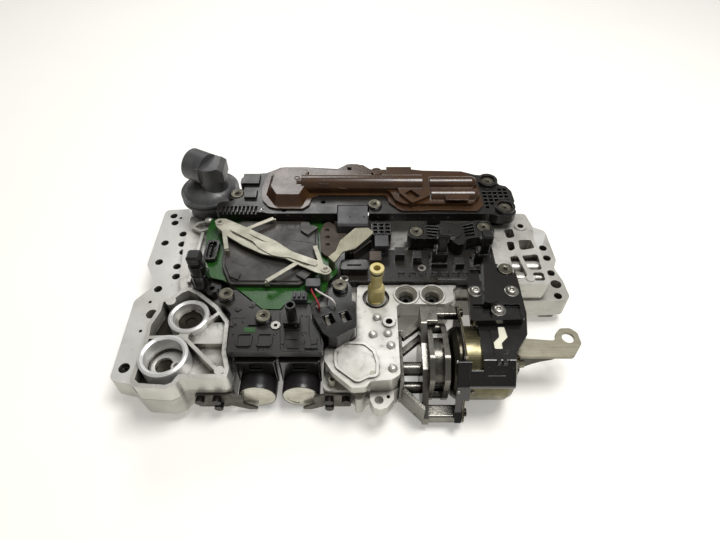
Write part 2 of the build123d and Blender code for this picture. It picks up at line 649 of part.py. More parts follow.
def clip_block():
    """The clip block with the hollow post of the front module."""
    body = soft_block(-79, -65, 50.5, 60, MODULE_Z, MODULE_Z + 7, 2)
    body -= block(-75, -69, 50.5, 52.5, MODULE_Z + 2, MODULE_Z + 5)
    body += upright(-71.5, 56.5, 8.5, MODULE_Z + 6, 52)
    return body - upright(-71.5, 56.5, 5.5, 40, 52)


def relay_module():
    """The twin-well module with the ear of the third flange screw."""
    outline = [
        (-45.5, 42.0), (-41.0, 38.0), (-34.0, 36.7), (-18.6, 47.0), (-18.6, 76.0), (-28.0, 73.0),
        (-44.0, 69.0), (-56.5, 67.5), (-56.0, 62.0),
    ]
    body = prism(smooth(outline, 3), PAD_Z, RELAY_Z)
    ear = [(-43.0, 64.0), (-22.0, 66.0), (-22.5, 95.0), (-27.0, 103.0), (-38.0, 103.5), (-43.0, 96.0)]
    body += prism(smooth(ear, 4), CENTRE_Z, MODULE_Z)
    body += upright(FLANGE_SCREWS[2][0], FLANGE_SCREWS[2][1], 14, WEB_Z, CENTRE_Z)
    for x, y, across in WELLS:
        body -= Pos(x, y) * Rot(0, 0, 25) * Pos(0, 0, 30) * Box(across - 5, across - 2, 9)
    for end in (RED_WIRE[-1], WHITE_WIRE[-1]):
        body -= upright(end[0], end[1], WIRE_D + 2 * SLIP, end[2], RELAY_Z + 1)
    return cut_all(body, screw_holes(WEB_Z, MODULE_Z + 1, [FLANGE_SCREWS[2]]))


def contact_springs():
    """The two bright contact springs in the wells of the relay module."""
    springs = []
    for x, y, across in WELLS:
        leaf = block(-1.6, 1.6, -4.8, 4.8, 25.5, 26.2) + block(-1.6, 1.6, 4.1, 4.8, 25.5, 33.0)
        springs.append(Pos(x, y) * Rot(0, 0, 25) * leaf)
    return springs


def grey_plug():
    """The grey two-way plug that the wires leave."""
    body = soft_block(-63, -50, 90.5, 99.5, 26.0, 35.0, 2)
    body -= block(-60, -53, 90.5, 92, 28, 33)
    return body


def fin_connector():
    """The grey connector with fins behind the hollow post."""
    body = block(-74, -61, 77, 85, 26.0, 33)
    for index in range(3):
        body += block(-72.5 + index * 4, -70.5 + index * 4, 78, 84, 33, 36)
    return body


def wire(points, diameter, reach):
    """A round wire along straight runs joined by tangent arcs."""
    corners = [Vector(*point) for point in points]
    radii = []
    for index in range(1, len(corners) - 1):
        back = corners[index] - corners[index - 1]
        ahead = corners[index + 1] - corners[index]
        half_turn = radians(back.get_angle(ahead)) / 2
        radii.append(0.45 * min(back.length, ahead.length) / tan(half_turn))
    path = FilletPolyline(*corners, radius=radii)
    section = Plane(origin=path @ 0, z_dir=path % 0) * Circle(diameter / 2)
    tube = sweep(section, path=path)
    share = tube.volume / (pi * diameter * diameter / 4 * path.length)
    length = round(path.length, 1)
    print(reach, "length", length, "least radius", round(min(radii), 1), "share", round(share, 4))
    return tube


def circuit_board():
    """The green board under the control unit."""
    outline = [
        (-164.2, 187.0), (-165.8, 166.8), (-159.4, 129.2), (-150.0, 108.0), (-138.5, 105.0), (-124.5, 95.0),
        (-113.0, 85.0), (-99.5, 72.5), (-83.5, 72.0), (-81.0, 77.5), (-58.0, 79.0), (-45.0, 93.0),
        (-44.0, 104.0), (-36.0, 114.0), (-37.0, 131.0), (-53.5, 187.0),
    ]
    return prism(smooth(outline, 3), BOARD_Z, BOARD_Z + BOARD_T)


def electronics_tray():
    """The black moulded tray that carries the board and the contact plate to its right."""
    edge = [
        (-162.0, 184.0), (-163.0, 167.0), (-157.0, 130.0), (-148.0, 110.5), (-137.5, 107.0), (-123.0, 97.0),
        (-113.0, 88.0), (-99.0, 75.0), (-86.0, 74.5), (-84.0, 80.0), (-59.0, 81.5), (-47.5, 94.0),
    ]
    outline = edge + [(-46.0, 107.0), (104.0, 107.0), (104.0, 147.0), (-40.0, 147.0), (-52.0, 184.0)]
    tray = prism(smooth(outline, 3), WEB_Z, RIGHT_Z)
    left = edge + [(-46.0, 106.0), (-39.0, 114.0), (-40.0, 131.0), (-54.0, 184.0)]
    tray += prism(smooth(left, 3), WEB_Z, BOARD_Z)
    # Small windows of the contact plate
    for index in range(7):
        tray -= block(20 + index * 10, 26 + index * 10, 112, 118, RIGHT_Z - 2, RIGHT_Z)
    tray -= block(56, 88, 109, 110.6, RIGHT_Z - 1.2, RIGHT_Z)
    return tray


def control_unit_cover():
    """The dark lid over the processor, with a stepped crown."""
    outline = [
        (-144.5, 157.0), (-141.5, 118.0), (-131.0, 96.5), (-68.5, 96.0), (-61.0, 105.0), (-52.5, 119.0),
        (-56.2, 166.9), (-70.6, 178.4), (-133.8, 178.4),
    ]
    low = BOARD_Z + BOARD_T
    body = prism(smooth(outline, 5), low, low + COVER_T - 1.5)
    crown = offset(smooth(outline, 5), -3)
    return body + prism(crown, low, low + COVER_T)


def clamp_spring():
    """The stamped steel spring that crosses the control unit, with its eyes, channel and four fingers."""
    beam = [
        (-156.5, 171.0), (-153.0, 174.0), (-146.0, 174.0), (-125.8, 163.0), (-94.9, 144.0), (-77.7, 129.7),
        (-53.2, 118.4), (-41.1, 108.5), (-40.5, 104.0), (-45.2, 101.0), (-54.2, 103.9), (-69.0, 112.3),
        (-83.3, 120.9), (-104.8, 126.5), (-123.8, 137.4), (-139.8, 149.3), (-153.0, 163.0),
    ]
    low = CLAMP_Z
    plate = prism(smooth(beam, 4), low, low + CLAMP_T)
    fingers = [((-146.0, 162.0), (-138.3, 133.0)), ((-126.0, 158.0), (-99.5, 175.0)),
               ((-72.0, 115.5), (-96.5, 94.0)), ((-49.5, 112.0), (-57.0, 137.0))]
    for root, tip in fingers:
        plate += bar(root, tip, 4.2, low, low + CLAMP_T)
        foot = Pos(tip[0], tip[1], 0) * block(-2, 2, -1.2, 1.2, BOARD_Z + BOARD_T + COVER_T, low)
        plate += foot
    channel = [
        (-138.0, 159.5), (-122.5, 154.0), (-104.0, 142.5), (-92.0, 135.5), (-80.0, 126.0), (-62.0, 115.5),
        (-60.0, 112.0), (-64.0, 111.5), (-83.0, 124.0), (-92.0, 127.5), (-106.0, 132.5), (-122.0, 144.0),
        (-136.0, 153.0),
    ]
    plate -= prism(smooth(channel, 3), low + CLAMP_T - 0.9, low + CLAMP_T)
    for x, y in CLAMP_EYES:
        plate += upright(x, y, 8, low + CLAMP_T, low + CLAMP_T + 0.8)
        plate -= upright(x, y, 4.2, low, low + CLAMP_T + 1)
    return plate


def clamp_rivets():
    """The shouldered posts that hold the clamp spring above the board."""
    rivets = []
    for x, y in CLAMP_EYES:
        post = upright(x, y, 8, BOARD_Z + BOARD_T, CLAMP_Z)
        post += upright(x, y, 4.2 - 2 * RUNNING, CLAMP_Z, CLAMP_Z + CLAMP_T + 0.6)
        rivets.append(post)
    return rivets


def clamp_strap():
    """The folded strap to the right of the clamp spring."""
    outline = [
        (-44.0, 124.5), (-38.0, 117.0), (-31.0, 130.3), (-19.9, 134.2), (-8.7, 147.3), (-2.0, 156.0),
        (-7.6, 162.5), (-20.1, 161.8), (-34.1, 144.7), (-38.0, 131.0),
    ]
    strap = prism(smooth(outline, 2), 35.5, 37)
    strap += Pos(-41.0, 120.7, 31.5) * Rot(0, 0, -51) * Box(9, 1.5, 11)
    return strap


def left_frame():
    """The black frame left of the board, with its square-capped sensor post and eyelet boss."""
    outline = [
        (-168.0, 122.0), (-158.0, 126.0), (-149.0, 109.0), (-140.5, 103.5), (-140.5, 93.0), (-150.0, 92.5),
        (-160.0, 98.5), (-168.0, 103.5),
    ]
    body = prism(smooth(outline, 4), WEB_Z, 22)
    body += upright(-147.0, 95.6, 11, 20, 26)
    body -= upright(-147.0, 95.6, 4.5, 18, 26)
    for low, high, across in ((22, 38, 14.5), (38, 43, 13), (43, 49, 14)):
        half = across / 2
        body += soft_block(POST_X - half, POST_X + half, POST_Y - half, POST_Y + half, low, high, half - 2)
    body += soft_block(POST_X - 4.8, POST_X + 4.8, POST_Y - 4.8, POST_Y + 4.8, 49, 54, 3)
    cap = RectangleRounded(12.6, 12.6, 3)
    crown = RectangleRounded(9.0, 9.0, 2)
    body += prism(Pos(POST_X, POST_Y) * cap, 54, 59)
    body += loft([Pos(POST_X, POST_Y, 59) * cap, Pos(POST_X, POST_Y, 61) * crown])
    body += block(-167.5, -163.5, 104, 120, 22, 27)
    return body


def board_socket():
    """The oval socket on the left edge of the board, with its row of pins."""
    low = BOARD_Z + BOARD_T
    body = soft_block(-161, -148.5, 126, 152, low, low + 5, 5)
    body -= soft_block(-158.5, -151, 128.5, 149.5, low + 1.5, low + 5, 3)
    for index in range(5):
        body += block(-155.5, -154, 131 + index * 4, 132.5 + index * 4, low + 1, low + 6)
    return body


def brown_insulator():
    """The folded brown insulator right of the control unit."""
    outline = [
        (-50.5, 176.0), (-46.0, 178.5), (-38.0, 172.0), (-38.0, 162.0), (-26.0, 162.0), (-36.5, 145.0),
        (-40.5, 133.0), (-46.5, 131.0), (-52.0, 137.0), (-54.0, 165.0),
    ]
    body = prism(smooth(outline, 2), 26.0, 30)
    for x, y in ((-47.5, 166.0), (-46.5, 156.0), (-46.0, 146.0)):
        body -= upright(x, y, 4.5, 28, 30)
    return body


def grey_block():
    """The large grey component with its chamfered front edge."""
    body = block(-37.0, -7.6, 163.0, 191.0, WEB_Z, 40)
    return body - Pos(-22, 163, 40) * Rot(45, 0, 0) * Box(40, 3, 3)


def lattice_insert():
    """The dark lattice beside the grey component."""
    body = soft_block(-4.5, 15.0, 156.0, 174.0, WEB_Z, 34, 2)
    for index in range(3):
        for row in range(3):
            x0 = -2.5 + index * 6
            y0 = 157.5 + row * 5.2
            body -= block(x0, x0 + 4, y0, y0 + 3.6, 31, 34)
    return body


def terminal_box():
    """The grey terminal box."""
    body = block(-1.5, 11.5, 138.5, 153.0, RIGHT_Z, 36)
    return body - block(2, 8, 138.5, 141, 26, 33)


def slotted_box():
    """The black box with one slot in its top."""
    body = soft_block(-33.0, -8.0, 114.5, 127.0, RIGHT_Z, 30, 2.5)
    return body - block(-27, -14, 119, 120.6, 28, 30)


def brown_chip():
    """The small brown block."""
    return block(-6.5, 4.5, 124.0, 136.0, RIGHT_Z, 32)


def comb_bars():
    """The three dark bars under the strap, each its own bar."""
    bars = []
    for index in range(3):
        shift = index * 3.6
        bars.append(bar((-29.0 + shift, 131.5), (-12.0 + shift, 148.5), 2.2, RIGHT_Z, 33.5))
    return bars


def ribbed_bracket():
    """The ribbed black bracket behind the contact plate: two sunk screw seats, a hub and slanting ribs."""
    outline = [
        (29.5, 153.0), (31.0, 163.0), (45.0, 167.5), (57.0, 166.0), (65.0, 170.0), (79.5, 168.0),
        (96.0, 173.5),
        (110.0, 173.5), (113.5, 160.0), (111.5, 150.0), (96.0, 150.5), (85.0, 147.5), (81.5, 140.5),
        (75.5, 140.0), (70.0, 147.5), (54.0, 148.5), (34.0, 148.5),
    ]
    body = prism(smooth(outline, 4), RIGHT_Z, BRACKET_TOP)
    seats = FLANGE_SCREWS[4:6]
    for x, y, seat in seats:
        body += block(x - 7.5, x + 7.5, y - 7.5, y + 7.5, WEB_Z, RIGHT_Z)
    body += upright(72.0, 158.0, 20, BRACKET_TOP, BRACKET_TOP + 1.5)
    # Grooves leave straight ribs between each seat and the hub
    for index in range(4):
        rise = 4.4 * index
        for start, end in (((48.5, 152.5), (60.0, 150.5)), ((84.0, 152.5), (94.0, 154.5))):
            inner = (start[0], start[1] + 4 * index)
            outer = (end[0], end[1] + rise)
            body -= bar(inner, outer, 2.4, BRACKET_TOP - 5, BRACKET_TOP + 2)
    for x, y, seat in seats:
        body -= upright(x, y, HEAD_D + 1.4, seat, BRACKET_TOP + 1)
    return cut_all(body, screw_holes(WEB_Z, BRACKET_TOP + 1, seats))


def tower_sensor(x, y):
    """A speed sensor tower: foot with a side rib, stepped body, slim neck and square cap."""
    body = block(x - 8.5, x + 6.5, y - 8, y + 8, RIGHT_Z, 27)
    body += soft_block(x - 6.5, x + 6, y - 6.5, y + 6.5, 27, 38, 2)
    body += block(x - 8.5, x - 5.5, y - 6, y - 3, 27, 42)
    body += soft_block(x - 4.2, x + 4.2, y - 4.2, y + 4.2, 38, 51, 1.5)
    cap = Pos(x, y, 59) * RectangleRounded(10.6, 10.6, 2)
    crown = Pos(x, y, 61) * RectangleRounded(8.0, 8.0, 1.6)
    body += soft_block(x - 5.3, x + 5.3, y - 5.3, y + 5.3, 51, 59, 2)
    return body + loft([cap, crown])


def terminal_blocks():
    """The small dark blocks on the contact plate."""
    blocks = [block(34, 42, 128, 137, RIGHT_Z, 31), block(73, 81, 122, 131, RIGHT_Z, 29)]
    blocks.append(block(17.5, 26.5, 133, 143, RIGHT_Z, 30))
    return blocks


def plate_eyelets():
    """The bright eyelets on the contact plate and beside the relay module."""
    eyelets = []
    for x, y, low in ((42.0, 122.5, RIGHT_Z), (-29.5, 109.5, RIGHT_Z)):
        ring = upright(x, y, 8, low, low + 1.2) - upright(x, y, 4, low, low + 1.2)
        eyelets.append(ring)
    return eyelets


def port_ear(low, high, extra):
    """The round ear of the rear carrier that overlaps the connector's rim."""
    return upright(CARRIER_SCREWS[3][0], CARRIER_SCREWS[3][1], 17 + extra, low, high)


def rear_carrier():
    """The long black carrier at the rear: stepped block, comb, screw ears and lattice end."""
    outline = [
        (-157.0, 196.0), (-157.0, 181.5), (-112.0, 181.0), (-104.0, 179.0), (112.0, 179.0), (119.0, 175.5),
        (133.0, 175.5), (138.0, 181.0), (137.0, 192.0), (139.5, 198.0), (139.0, 213.0), (135.0, 221.0),
        (128.0, 223.5), (126.5, 234.0), (119.0, 238.5), (106.0, 240.0), (92.0, 246.0), (-4.0, 249.0),
        (-12.0, 257.0), (-29.0, 258.5), (-39.0, 250.0), (-66.0, 252.5), (-100.0, 252.5), (-114.0, 243.0),
        (-134.0, 240.0), (-139.5, 234.0), (-139.5, 226.0), (-134.0, 221.0),
        (-134.0, 204.0), (-144.0, 198.0),
    ]
    high = CARRIER_Z + CARRIER_T
    body = prism(smooth(outline, 4), CARRIER_Z, high)
    body -= upright(PORT_X, PORT_Y, PORT_D + 2, CARRIER_Z, high)
    body += port_ear(CARRIER_Z, high, 0)
    body -= block(-37.5, -6.5, 170, 191.5, CARRIER_Z, high)
    # Legs down to the web of the upper casting
    for x in (-120, -48, 60, 124):
        body += block(x - 6, x + 6, 188, 196, WEB_Z, CARRIER_Z)
    # Stepped block and comb at the left end
    port_side = PORT_X + PORT_D / 2
    body += block(port_side + 4.5, port_side + 22, 222, 238, high, high + 3)
    body += block(port_side + 10, port_side + 22, 200, 212, high, high + 3)
    for index in range(9):
        x0 = -151 + index * 4
        body -= block(x0, x0 + 2, 181, 190, high - 3, high)
    # Lattice at the right end
    for index in range(5):
        for row in range(6):
            x0 = 109 + index * 5.4
            y0 = 187 + row * 5.4
            cell = Vector(x0 + 1.9, y0 + 1.9)
            near = [(cell - Vector(x, y)).length < 13.2 for x, y, seat in CARRIER_SCREWS[1:3]]
            if not any(near):
                body -= block(x0, x0 + 3.8, y0, y0 + 3.8, high - 4, high)
    for x, y, seat in CARRIER_SCREWS[1:3]:
        body += upright(x, y, HEAD_D + 7, CARRIER_Z, high + 4)
    for x, y, seat in CARRIER_SCREWS:
        body -= upright(x, y, HEAD_D + 1.2, seat, high + 4)
    for x, y in ((-52.0, 196.0), (-90.0, 184.0)):
        body -= upright(x, y, 5, high - 4, high)
    holes = screw_holes(WEB_Z - 1, high + 5, CARRIER_SCREWS)
    return cut_all(body, holes)


def brown_cover():
    """The brown moulded cover: flat rim, left pan, long tube, two half tubes and a sunk square."""
    low = CARRIER_Z + CARRIER_T
    rim = [
        (-112.5, 196.5), (-105.0, 187.0), (-98.0, 184.6), (-71.5, 184.0), (-65.5, 190.0), (-63.5, 200.5),
        (-57.5, 204.5), (11.0, 204.5), (13.5, 193.5), (24.5, 181.5), (46.9, 181.5), (55.1, 182.5),
        (99.8, 181.0),
        (106.5, 189.3), (106.5, 212.4), (102.3, 234.0), (92.7, 243.0), (65.9, 242.0), (37.9, 247.0),
        (-2.0, 246.0), (-10.0, 249.8), (-16.6, 255.6), (-26.0, 256.4), (-34.0, 251.5), (-39.0, 245.5),
        (-61.7, 247.0), (-70.0, 250.5), (-96.5, 250.5), (-109.0, 243.5), (-114.0, 231.0), (-115.5, 212.0),
    ]
    body = prism(smooth(rim, 5), low, low + LID_T)
    # Left pan with sloping sides and a chamfered front
    foot = [
        (-109.5, 205.0), (-99.5, 188.5), (-72.0, 188.5), (-66.0, 206.0), (-66.0, 238.0), (-72.0, 246.0),
        (-96.0, 246.0), (-107.5, 235.0),
    ]
    crown = [
        (-104.5, 209.0), (-97.5, 195.0), (-75.5, 195.0), (-70.5, 209.0), (-71.0, 233.0), (-75.0, 238.5),
        (-94.0, 238.5), (-102.0, 231.0),
    ]
    faces = [make_face(Polyline(*foot, close=True)), make_face(Polyline(*crown, close=True))]
    body += loft([Pos(0, 0, low + LID_T) * faces[0], Pos(0, 0, low + 11) * faces[1]], ruled=True)
    # Middle deck that carries the long tube
    deck = [
        (-78.0, 240.0), (-74.0, 208.0), (14.0, 207.5), (20.0, 192.0), (28.0, 187.0), (95.0, 187.0),
        (100.0, 194.0), (99.0, 226.0), (90.0, 236.0), (40.0, 240.0),
    ]
    body += prism(smooth(deck, 6), low + LID_T, low + 6)
    body += along_x(-74.0, 47.0, 216.5, low + 6.5, 18.5)
    body += along_x(-79.0, -74.0, 215.0, low + 7, 12)
    # Two half tubes on the right, with rounded ends
    for y in (219.5, 200.0):
        body += along_x(55.0, 97.0, y, low + 5, 14)
        body += Pos(97.0, y, low + 5) * Sphere(7)
    lug = [
        (12.5, 213.0), (21.5, 213.0), (23.5, 200.0), (35.5, 184.5), (46.5, 191.0), (54.0, 196.0),
        (54.0, 226.0),
        (12.5, 226.0),
    ]
    body += prism(smooth(lug, 2), low, low + 9)
    body -= Pos(36.5, 197.0, low + 9) * Rot(0, 0, -49) * Box(13, 8.5, 7)
    # Cap, hump and the block behind the tube
    body += upright(1.5, 230.0, 11, low + LID_T, low + 12.5)
    body += block(12.0, 38.0, 229.0, 243.0, low + LID_T, low + 8)
    body += upright(-26.5, 247.0, 4.5, low, low + 6)
    body &= block(-130, 130, 170, 270, low, low + 40)
    return body


def connector_body():
    """The round connector: flanged drum, tower and a socket barrel that faces left and back."""
    x, y = PORT_X, PORT_Y
    r = PORT_D / 2
    z = PORT_Z
    profile = [
        (0, 0), (r - 5, 0), (r - 5, z - 8), (r, z - 8), (r, z - 5), (r - 1.5, z - 5), (r - 1.5, z - 2.5),
        (r, z - 2.5), (r, z), (r - 3.5, z), (r - 6.5, z + 4), (r - 16, z + 9), (0, z + 9),
    ]
    body = Pos(x, y) * turned(profile)
    body += upright(x + 7, y - 2, 27, z, TOWER_TOP)
    body += Pos(x + 8, y - 2, TOWER_TOP - 8) * Box(26, 22, 16)
    turn = BARREL_TURN
    barrel = Pos(x + 4, y - 1, BARREL_Z) * Rot(0, 0, turn) * Rot(0, -90, 0)
    body += barrel * Pos(0, 0, BARREL_L / 2) * Cylinder(BARREL_D / 2, BARREL_L)
    body -= barrel * Pos(0, 0, BARREL_L - 6) * Cylinder(BARREL_D / 2 - 3, 18)
    chamfer_cut = Pos(x + 23, y - 2, TOWER_TOP + 5) * Rot(0, 35, 0) * Box(30, 40, 16)
    body -= chamfer_cut
    return body - port_ear(z - 20, z + 20, 1.0)


def connector_pins():
    """The contact pins inside the socket barrel."""
    pins = []
    barrel = Pos(PORT_X + 4, PORT_Y - 1, BARREL_Z) * Rot(0, 0, BARREL_TURN) * Rot(0, -90, 0)
    for index in range(4):
        angle = radians(45 + index * 90)
        pin = Pos(7 * cos(angle), 7 * sin(angle), BARREL_L - 15 + 4) * Cylinder(1.0, 8)
        pins.append(barrel * pin)
    return pins


def connector_seal():
    """The seal ring in the groove of the connector drum."""
    ring = upright(PORT_X, PORT_Y, PORT_D - 0.6, PORT_Z - 4.9, PORT_Z - 2.6)
    ring -= upright(PORT_X, PORT_Y, PORT_D - 3, PORT_Z - 4.9, PORT_Z - 2.6)
    return ring - port_ear(PORT_Z - 10, PORT_Z, 1.6)


def saddle_bracket():
    """The black bracket over the actuator, with a centre ridge and sunk panels."""
    outline = [
        (75.5, 50.6), (120.0, 52.5), (122.5, 84.0), (122.5, 98.0), (121.0, 112.0), (114.0, 116.5),
        (106.0, 113.0),
        (103.0, 118.0), (95.0, 118.0), (93.0, 112.0), (81.0, 110.0), (78.0, 91.0),
    ]
    body = prism(smooth(outline, 3), SADDLE_LOW, SADDLE_HIGH)
    body += prism(smooth([(88, 66), (99, 66), (103, 117), (94.5, 117)], 2), SADDLE_HIGH, SADDLE_HIGH + 5)
    body -= block(79, 94, 53.5, 68, SADDLE_HIGH - 3, SADDLE_HIGH)
    body -= block(104.5, 118, 53.5, 68, SADDLE_HIGH - 3, SADDLE_HIGH)
    body -= block(82, 91, 94, 107, SADDLE_HIGH - 3, SADDLE_HIGH)
    for x, y in SADDLE_SCREWS:
        body -= upright(x, y, PAN_D + 0.4, SADDLE_LOW, SADDLE_HIGH + 5)
        body -= upright(x, y, PAN_HEAD_D + 3.2, SADDLE_HIGH, SADDLE_HIGH + 5)
    x, y, seat = FLANGE_SCREWS[8]
    body -= upright(x, y, HEAD_D + 3, seat, SADDLE_HIGH + 5)
    body += upright(x, y, HEAD_D + 2.6, RIGHT_Z, seat)
    body -= upright(x, y, SCREW_HOLE_D, RIGHT_Z, seat)
    return body


def housing_section():
    """The (y, z) outline of the black actuator housing."""
    top = SADDLE_LOW
    front = ACT_Y - CAN_R - 2.5
    return [(front, 13.5), (front, 17.0), (17.5, top), (92.0, top), (92.0, 21.0), (ACT_Y + CAN_R + 4.5, 14.0),
            (ACT_Y + CAN_R + 1.5, -4.0), (50.0, -6.0), (30.0, -6.0), (10.0, 4.0)]


def actuator_housing():
    """The black housing that straddles the motor can, carries the bush and guards the front of the rims."""
    body = side_plate(housing_section(), 2.5, HOUSING_X, HOUSING_END + 12)
    # A low front wall runs along the can to the rims
    front = ACT_Y - CAN_R - 2.5
    wall = [(front, 13.5), (front, 17.0), (12.0, 25.3), (16.0, 22.0), (10.0, 4.0)]
    body += side_plate(wall, 1, CAN_X + 0.6, HOUSING_X)
    body -= along_x(CAN_X, HOUSING_END, ACT_Y, ACT_Z, CAN_D + 2 * SLIP)
    # The roof overhangs the lever, and its right side slants in towards the front
    body -= block(HOUSING_END, HOUSING_END + 13, -10, 78, -20, 20)
    step = CAN_END - 5
    edge = [(step, -5), (step, 17), (step + 2, 25), (step + 14, 42), (step + 20, 75), (step + 20, 95),
            (step + 30, 95), (step + 30, -5)]
    body -= prism(make_face(Polyline(*edge, close=True)), -20, SADDLE_HIGH)
    boss = [(24, 5), (25, -8), (31, -13), (43, -13), (51, -8), (52, 5), (46, 7), (30, 7)]
    body += side_plate(boss, 2, HOUSING_END - 1, HOUSING_END + BOSS_T)
    body -= along_x(BUSH_X - 1, BUSH_X + BUSH_L + 1, ACT_Y, ACT_Z, BUSH_D)
    guard = [
        (17.5, 31.0), (5.3, 14.4), (-2.7, -11.7), (-9.6, -19.3), (-11.9, -17.3), (-5.4, -10.5), (2.5, 15.5),
        (15.1, 32.8),
    ]
    upper_guard = [(17.5, 31.0), (5.3, 14.4), (1.0, 0.0), (-1.8, 0.8), (2.5, 15.5), (15.1, 32.8)]
    rims = CAN_X - 3 * RIM_T
    body += side_plate(guard, 0.8, rims - 5.5, rims - 0.3)
    body += side_plate(upper_guard, 0.8, rims - 0.5, CAN_X + 2)
    for x, y in SADDLE_SCREWS:
        body -= upright(x, y, PAN_D, SADDLE_LOW - 8.5, SADDLE_LOW)
    body -= prism(smooth(BUS_SLOT, 1), SADDLE_LOW - 1.4, SADDLE_LOW)
    body -= block(88.5, 91.0, 22, 48, SADDLE_LOW - 1, SADDLE_LOW)
    for x in (92, 97):
        body += block(x, x + 3, 14.5, 18.5, SADDLE_LOW - 4, SADDLE_LOW + 0.8)
    return body


def bus_bar():
    """The pale bent bar that lies in the top of the actuator housing."""
    return prism(smooth(BUS_SLOT, 1), SADDLE_LOW - 1.4, SADDLE_LOW - 0.6)


RIM = [
    (-7.0, -26.0), (3.0, -27.5), (18.0, -27.8), (54.0, -27.8), (66.0, -14.0), (70.5, 2.0), (77.0, 18.0),
    (76.0, 27.0), (66.0, 27.0), (54.0, 30.5), (18.0, 30.5), (6.0, 14.0), (-2.0, -12.0), (-9.0, -20.0),
]


def rim_plate(x0, x1):
    """One leaf of the screwed rim between the drum and the can."""
    return side_plate(RIM, 9, x0, x1) - [along_x(x0 - 1, x1 + 1, y, z, 4.4) for y, z in SEAM_SCREWS]


def actuator_can():
    """The drawn motor can with its rim, a rounded right end and the hole of the output rod."""
    r = CAN_R
    profile = [
        (0, 0), (r, 0), (r, CAN_L - 8), (r - 2.5, CAN_L - 3), (r - 7, CAN_L), (0, CAN_L),
    ]
    body = Pos(CAN_X, ACT_Y, ACT_Z) * Rot(0, 90, 0) * turned(profile)
    body += rim_plate(CAN_X - RIM_T, CAN_X)
    return body - along_x(ROD_BACK - 4, CAN_END + 1, ACT_Y, ACT_Z, ROD_D + 1.0)


def seam_flange():
    """The black spacer between the two drawn rims."""
    return rim_plate(CAN_X - 2 * RIM_T, CAN_X - RIM_T)


def front_drum():
    """The dished steel drum with its rim, in front of the spacer."""
    r = CAN_R - 0.5
    back = CAN_X - 2 * RIM_T
    profile = [(0, 0), (r - 9, 0), (r - 3, 2), (r, 6), (r, 9.5 - RIM_T), (0, 9.5 - RIM_T)]
    drum = Pos(back - 9.5, ACT_Y, ACT_Z) * Rot(0, 90, 0) * turned(profile)
    return drum + rim_plate(back - RIM_T, back)


def gear_cover():
    """The ribbed cast gear cover: two eared plates joined by a waisted drum."""
    ears = [
        (8.0, -12.0), (12.0, -24.0), (30.0, -28.0), (50.0, -25.0), (61.0, -10.0), (64.5, 6.0), (65.0, 16.0),
        (57.0, 21.5), (48.0, 24.0), (24.0, 25.0), (10.0, 12.0),
    ]
    body = side_plate(ears, 8, GEAR_X0, GEAR_X0 + 4)
    body += side_plate(ears, 8, GEAR_X1 - 4.5, GEAR_X1)
    body += along_x(GEAR_X0, GEAR_X1, ACT_Y, ACT_Z, 42)
    for y, z in ((61.0, 13.0), (16.0, -18.0), (52.0, -19.0)):
        body += along_x(GEAR_X0, GEAR_X1, y, z, 9)
    body += along_x(GEAR_X1, CAN_X - 11.5, ACT_Y, ACT_Z, 36)
    return body


def actuator_bracket():
    """The cast bracket between the centre block and the actuator, with arms to the seam flange."""
    plate = [
        (-10.0, -28.0), (6.0, -28.0), (30.0, -27.0), (56.0, -26.0), (66.0, -8.0), (72.0, 10.0), (76.0, 20.0),
        (76.0, 27.0), (57.0, 27.0), (44.0, 16.0), (20.0, 12.0), (6.0, -6.0), (-8.0, -18.0),
    ]
    body = side_plate(plate, 4, 36.0, GEAR_X0)
    end = CAN_X - 3
    body += side_plate([(66.0, 19.0), (76.0, 19.0), (76.0, 27.0), (58.0, 27.0), (58.0, 22.0)], 2, 36.0, 50.0)
    body += side_plate([(66.0, 17.5), (76.0, 17.5), (76.0, 26.0), (66.0, 26.0)], 2, 36.0, end)
    body += side_plate([(-7.0, -27.0), (5.0, -27.0), (5.0, -16.0), (-7.0, -16.0)], 2, 36.0, end)
    # Sloping web and struts to the side wall of the centre block
    body += prism(smooth([(17.3, 12.0), (37.0, -9.0), (37.0, 6.0), (17.3, 32.0)], 1), -24, -19)
    body += prism(smooth([(17.3, 12.0), (37.0, -9.0), (37.0, -4.5), (17.3, 17.5)], 1), -20, -2)
    body += bar((20.0, 54.0), (37.5, 68.0), 6, 6, 12)
    body += bar((20.0, 42.0), (37.5, 58.0), 5, 0, 6)
    body += along_x(17.3, 37, 30, -2, 12)
    body += along_x(17.3, 37, 18, -12, 10)
    body += block(17.0, 20.5, 10.5, 60, -24, 11)
    body -= [along_x(30, end + 1, y, z, 4.0) for y, z in SEAM_SCREWS]
    return body


def seam_screws():
    """The small bright screws that hold the seam flange to the bracket arms."""
    screws = []
    for y, z in SEAM_SCREWS:
        screw = along_x(CAN_X, CAN_X + 3, y, z, 7) + along_x(CAN_X - 15, CAN_X, y, z, 4.0)
        screws.append(screw - along_x(CAN_X + 1.2, CAN_X + 3, y, z, 3.2))
    return screws


def actuator_bush():
    """The brass guide bush of the output rod."""
    ring = along_x(BUSH_X, BUSH_X + BUSH_L, ACT_Y, ACT_Z, BUSH_D)
    return ring - along_x(BUSH_X, BUSH_X + BUSH_L, ACT_Y, ACT_Z, ROD_D + 2 * RUNNING)


def output_rod():
    """The rod that the actuator pushes out, slotted for the lever."""
    rod = along_x(ROD_BACK, ROD_END, ACT_Y, ACT_Z, ROD_D)
    return rod - block(TANG_X, ROD_END + 1, ACT_Y - LEVER_T / 2, ACT_Y + LEVER_T / 2, -10, 10)


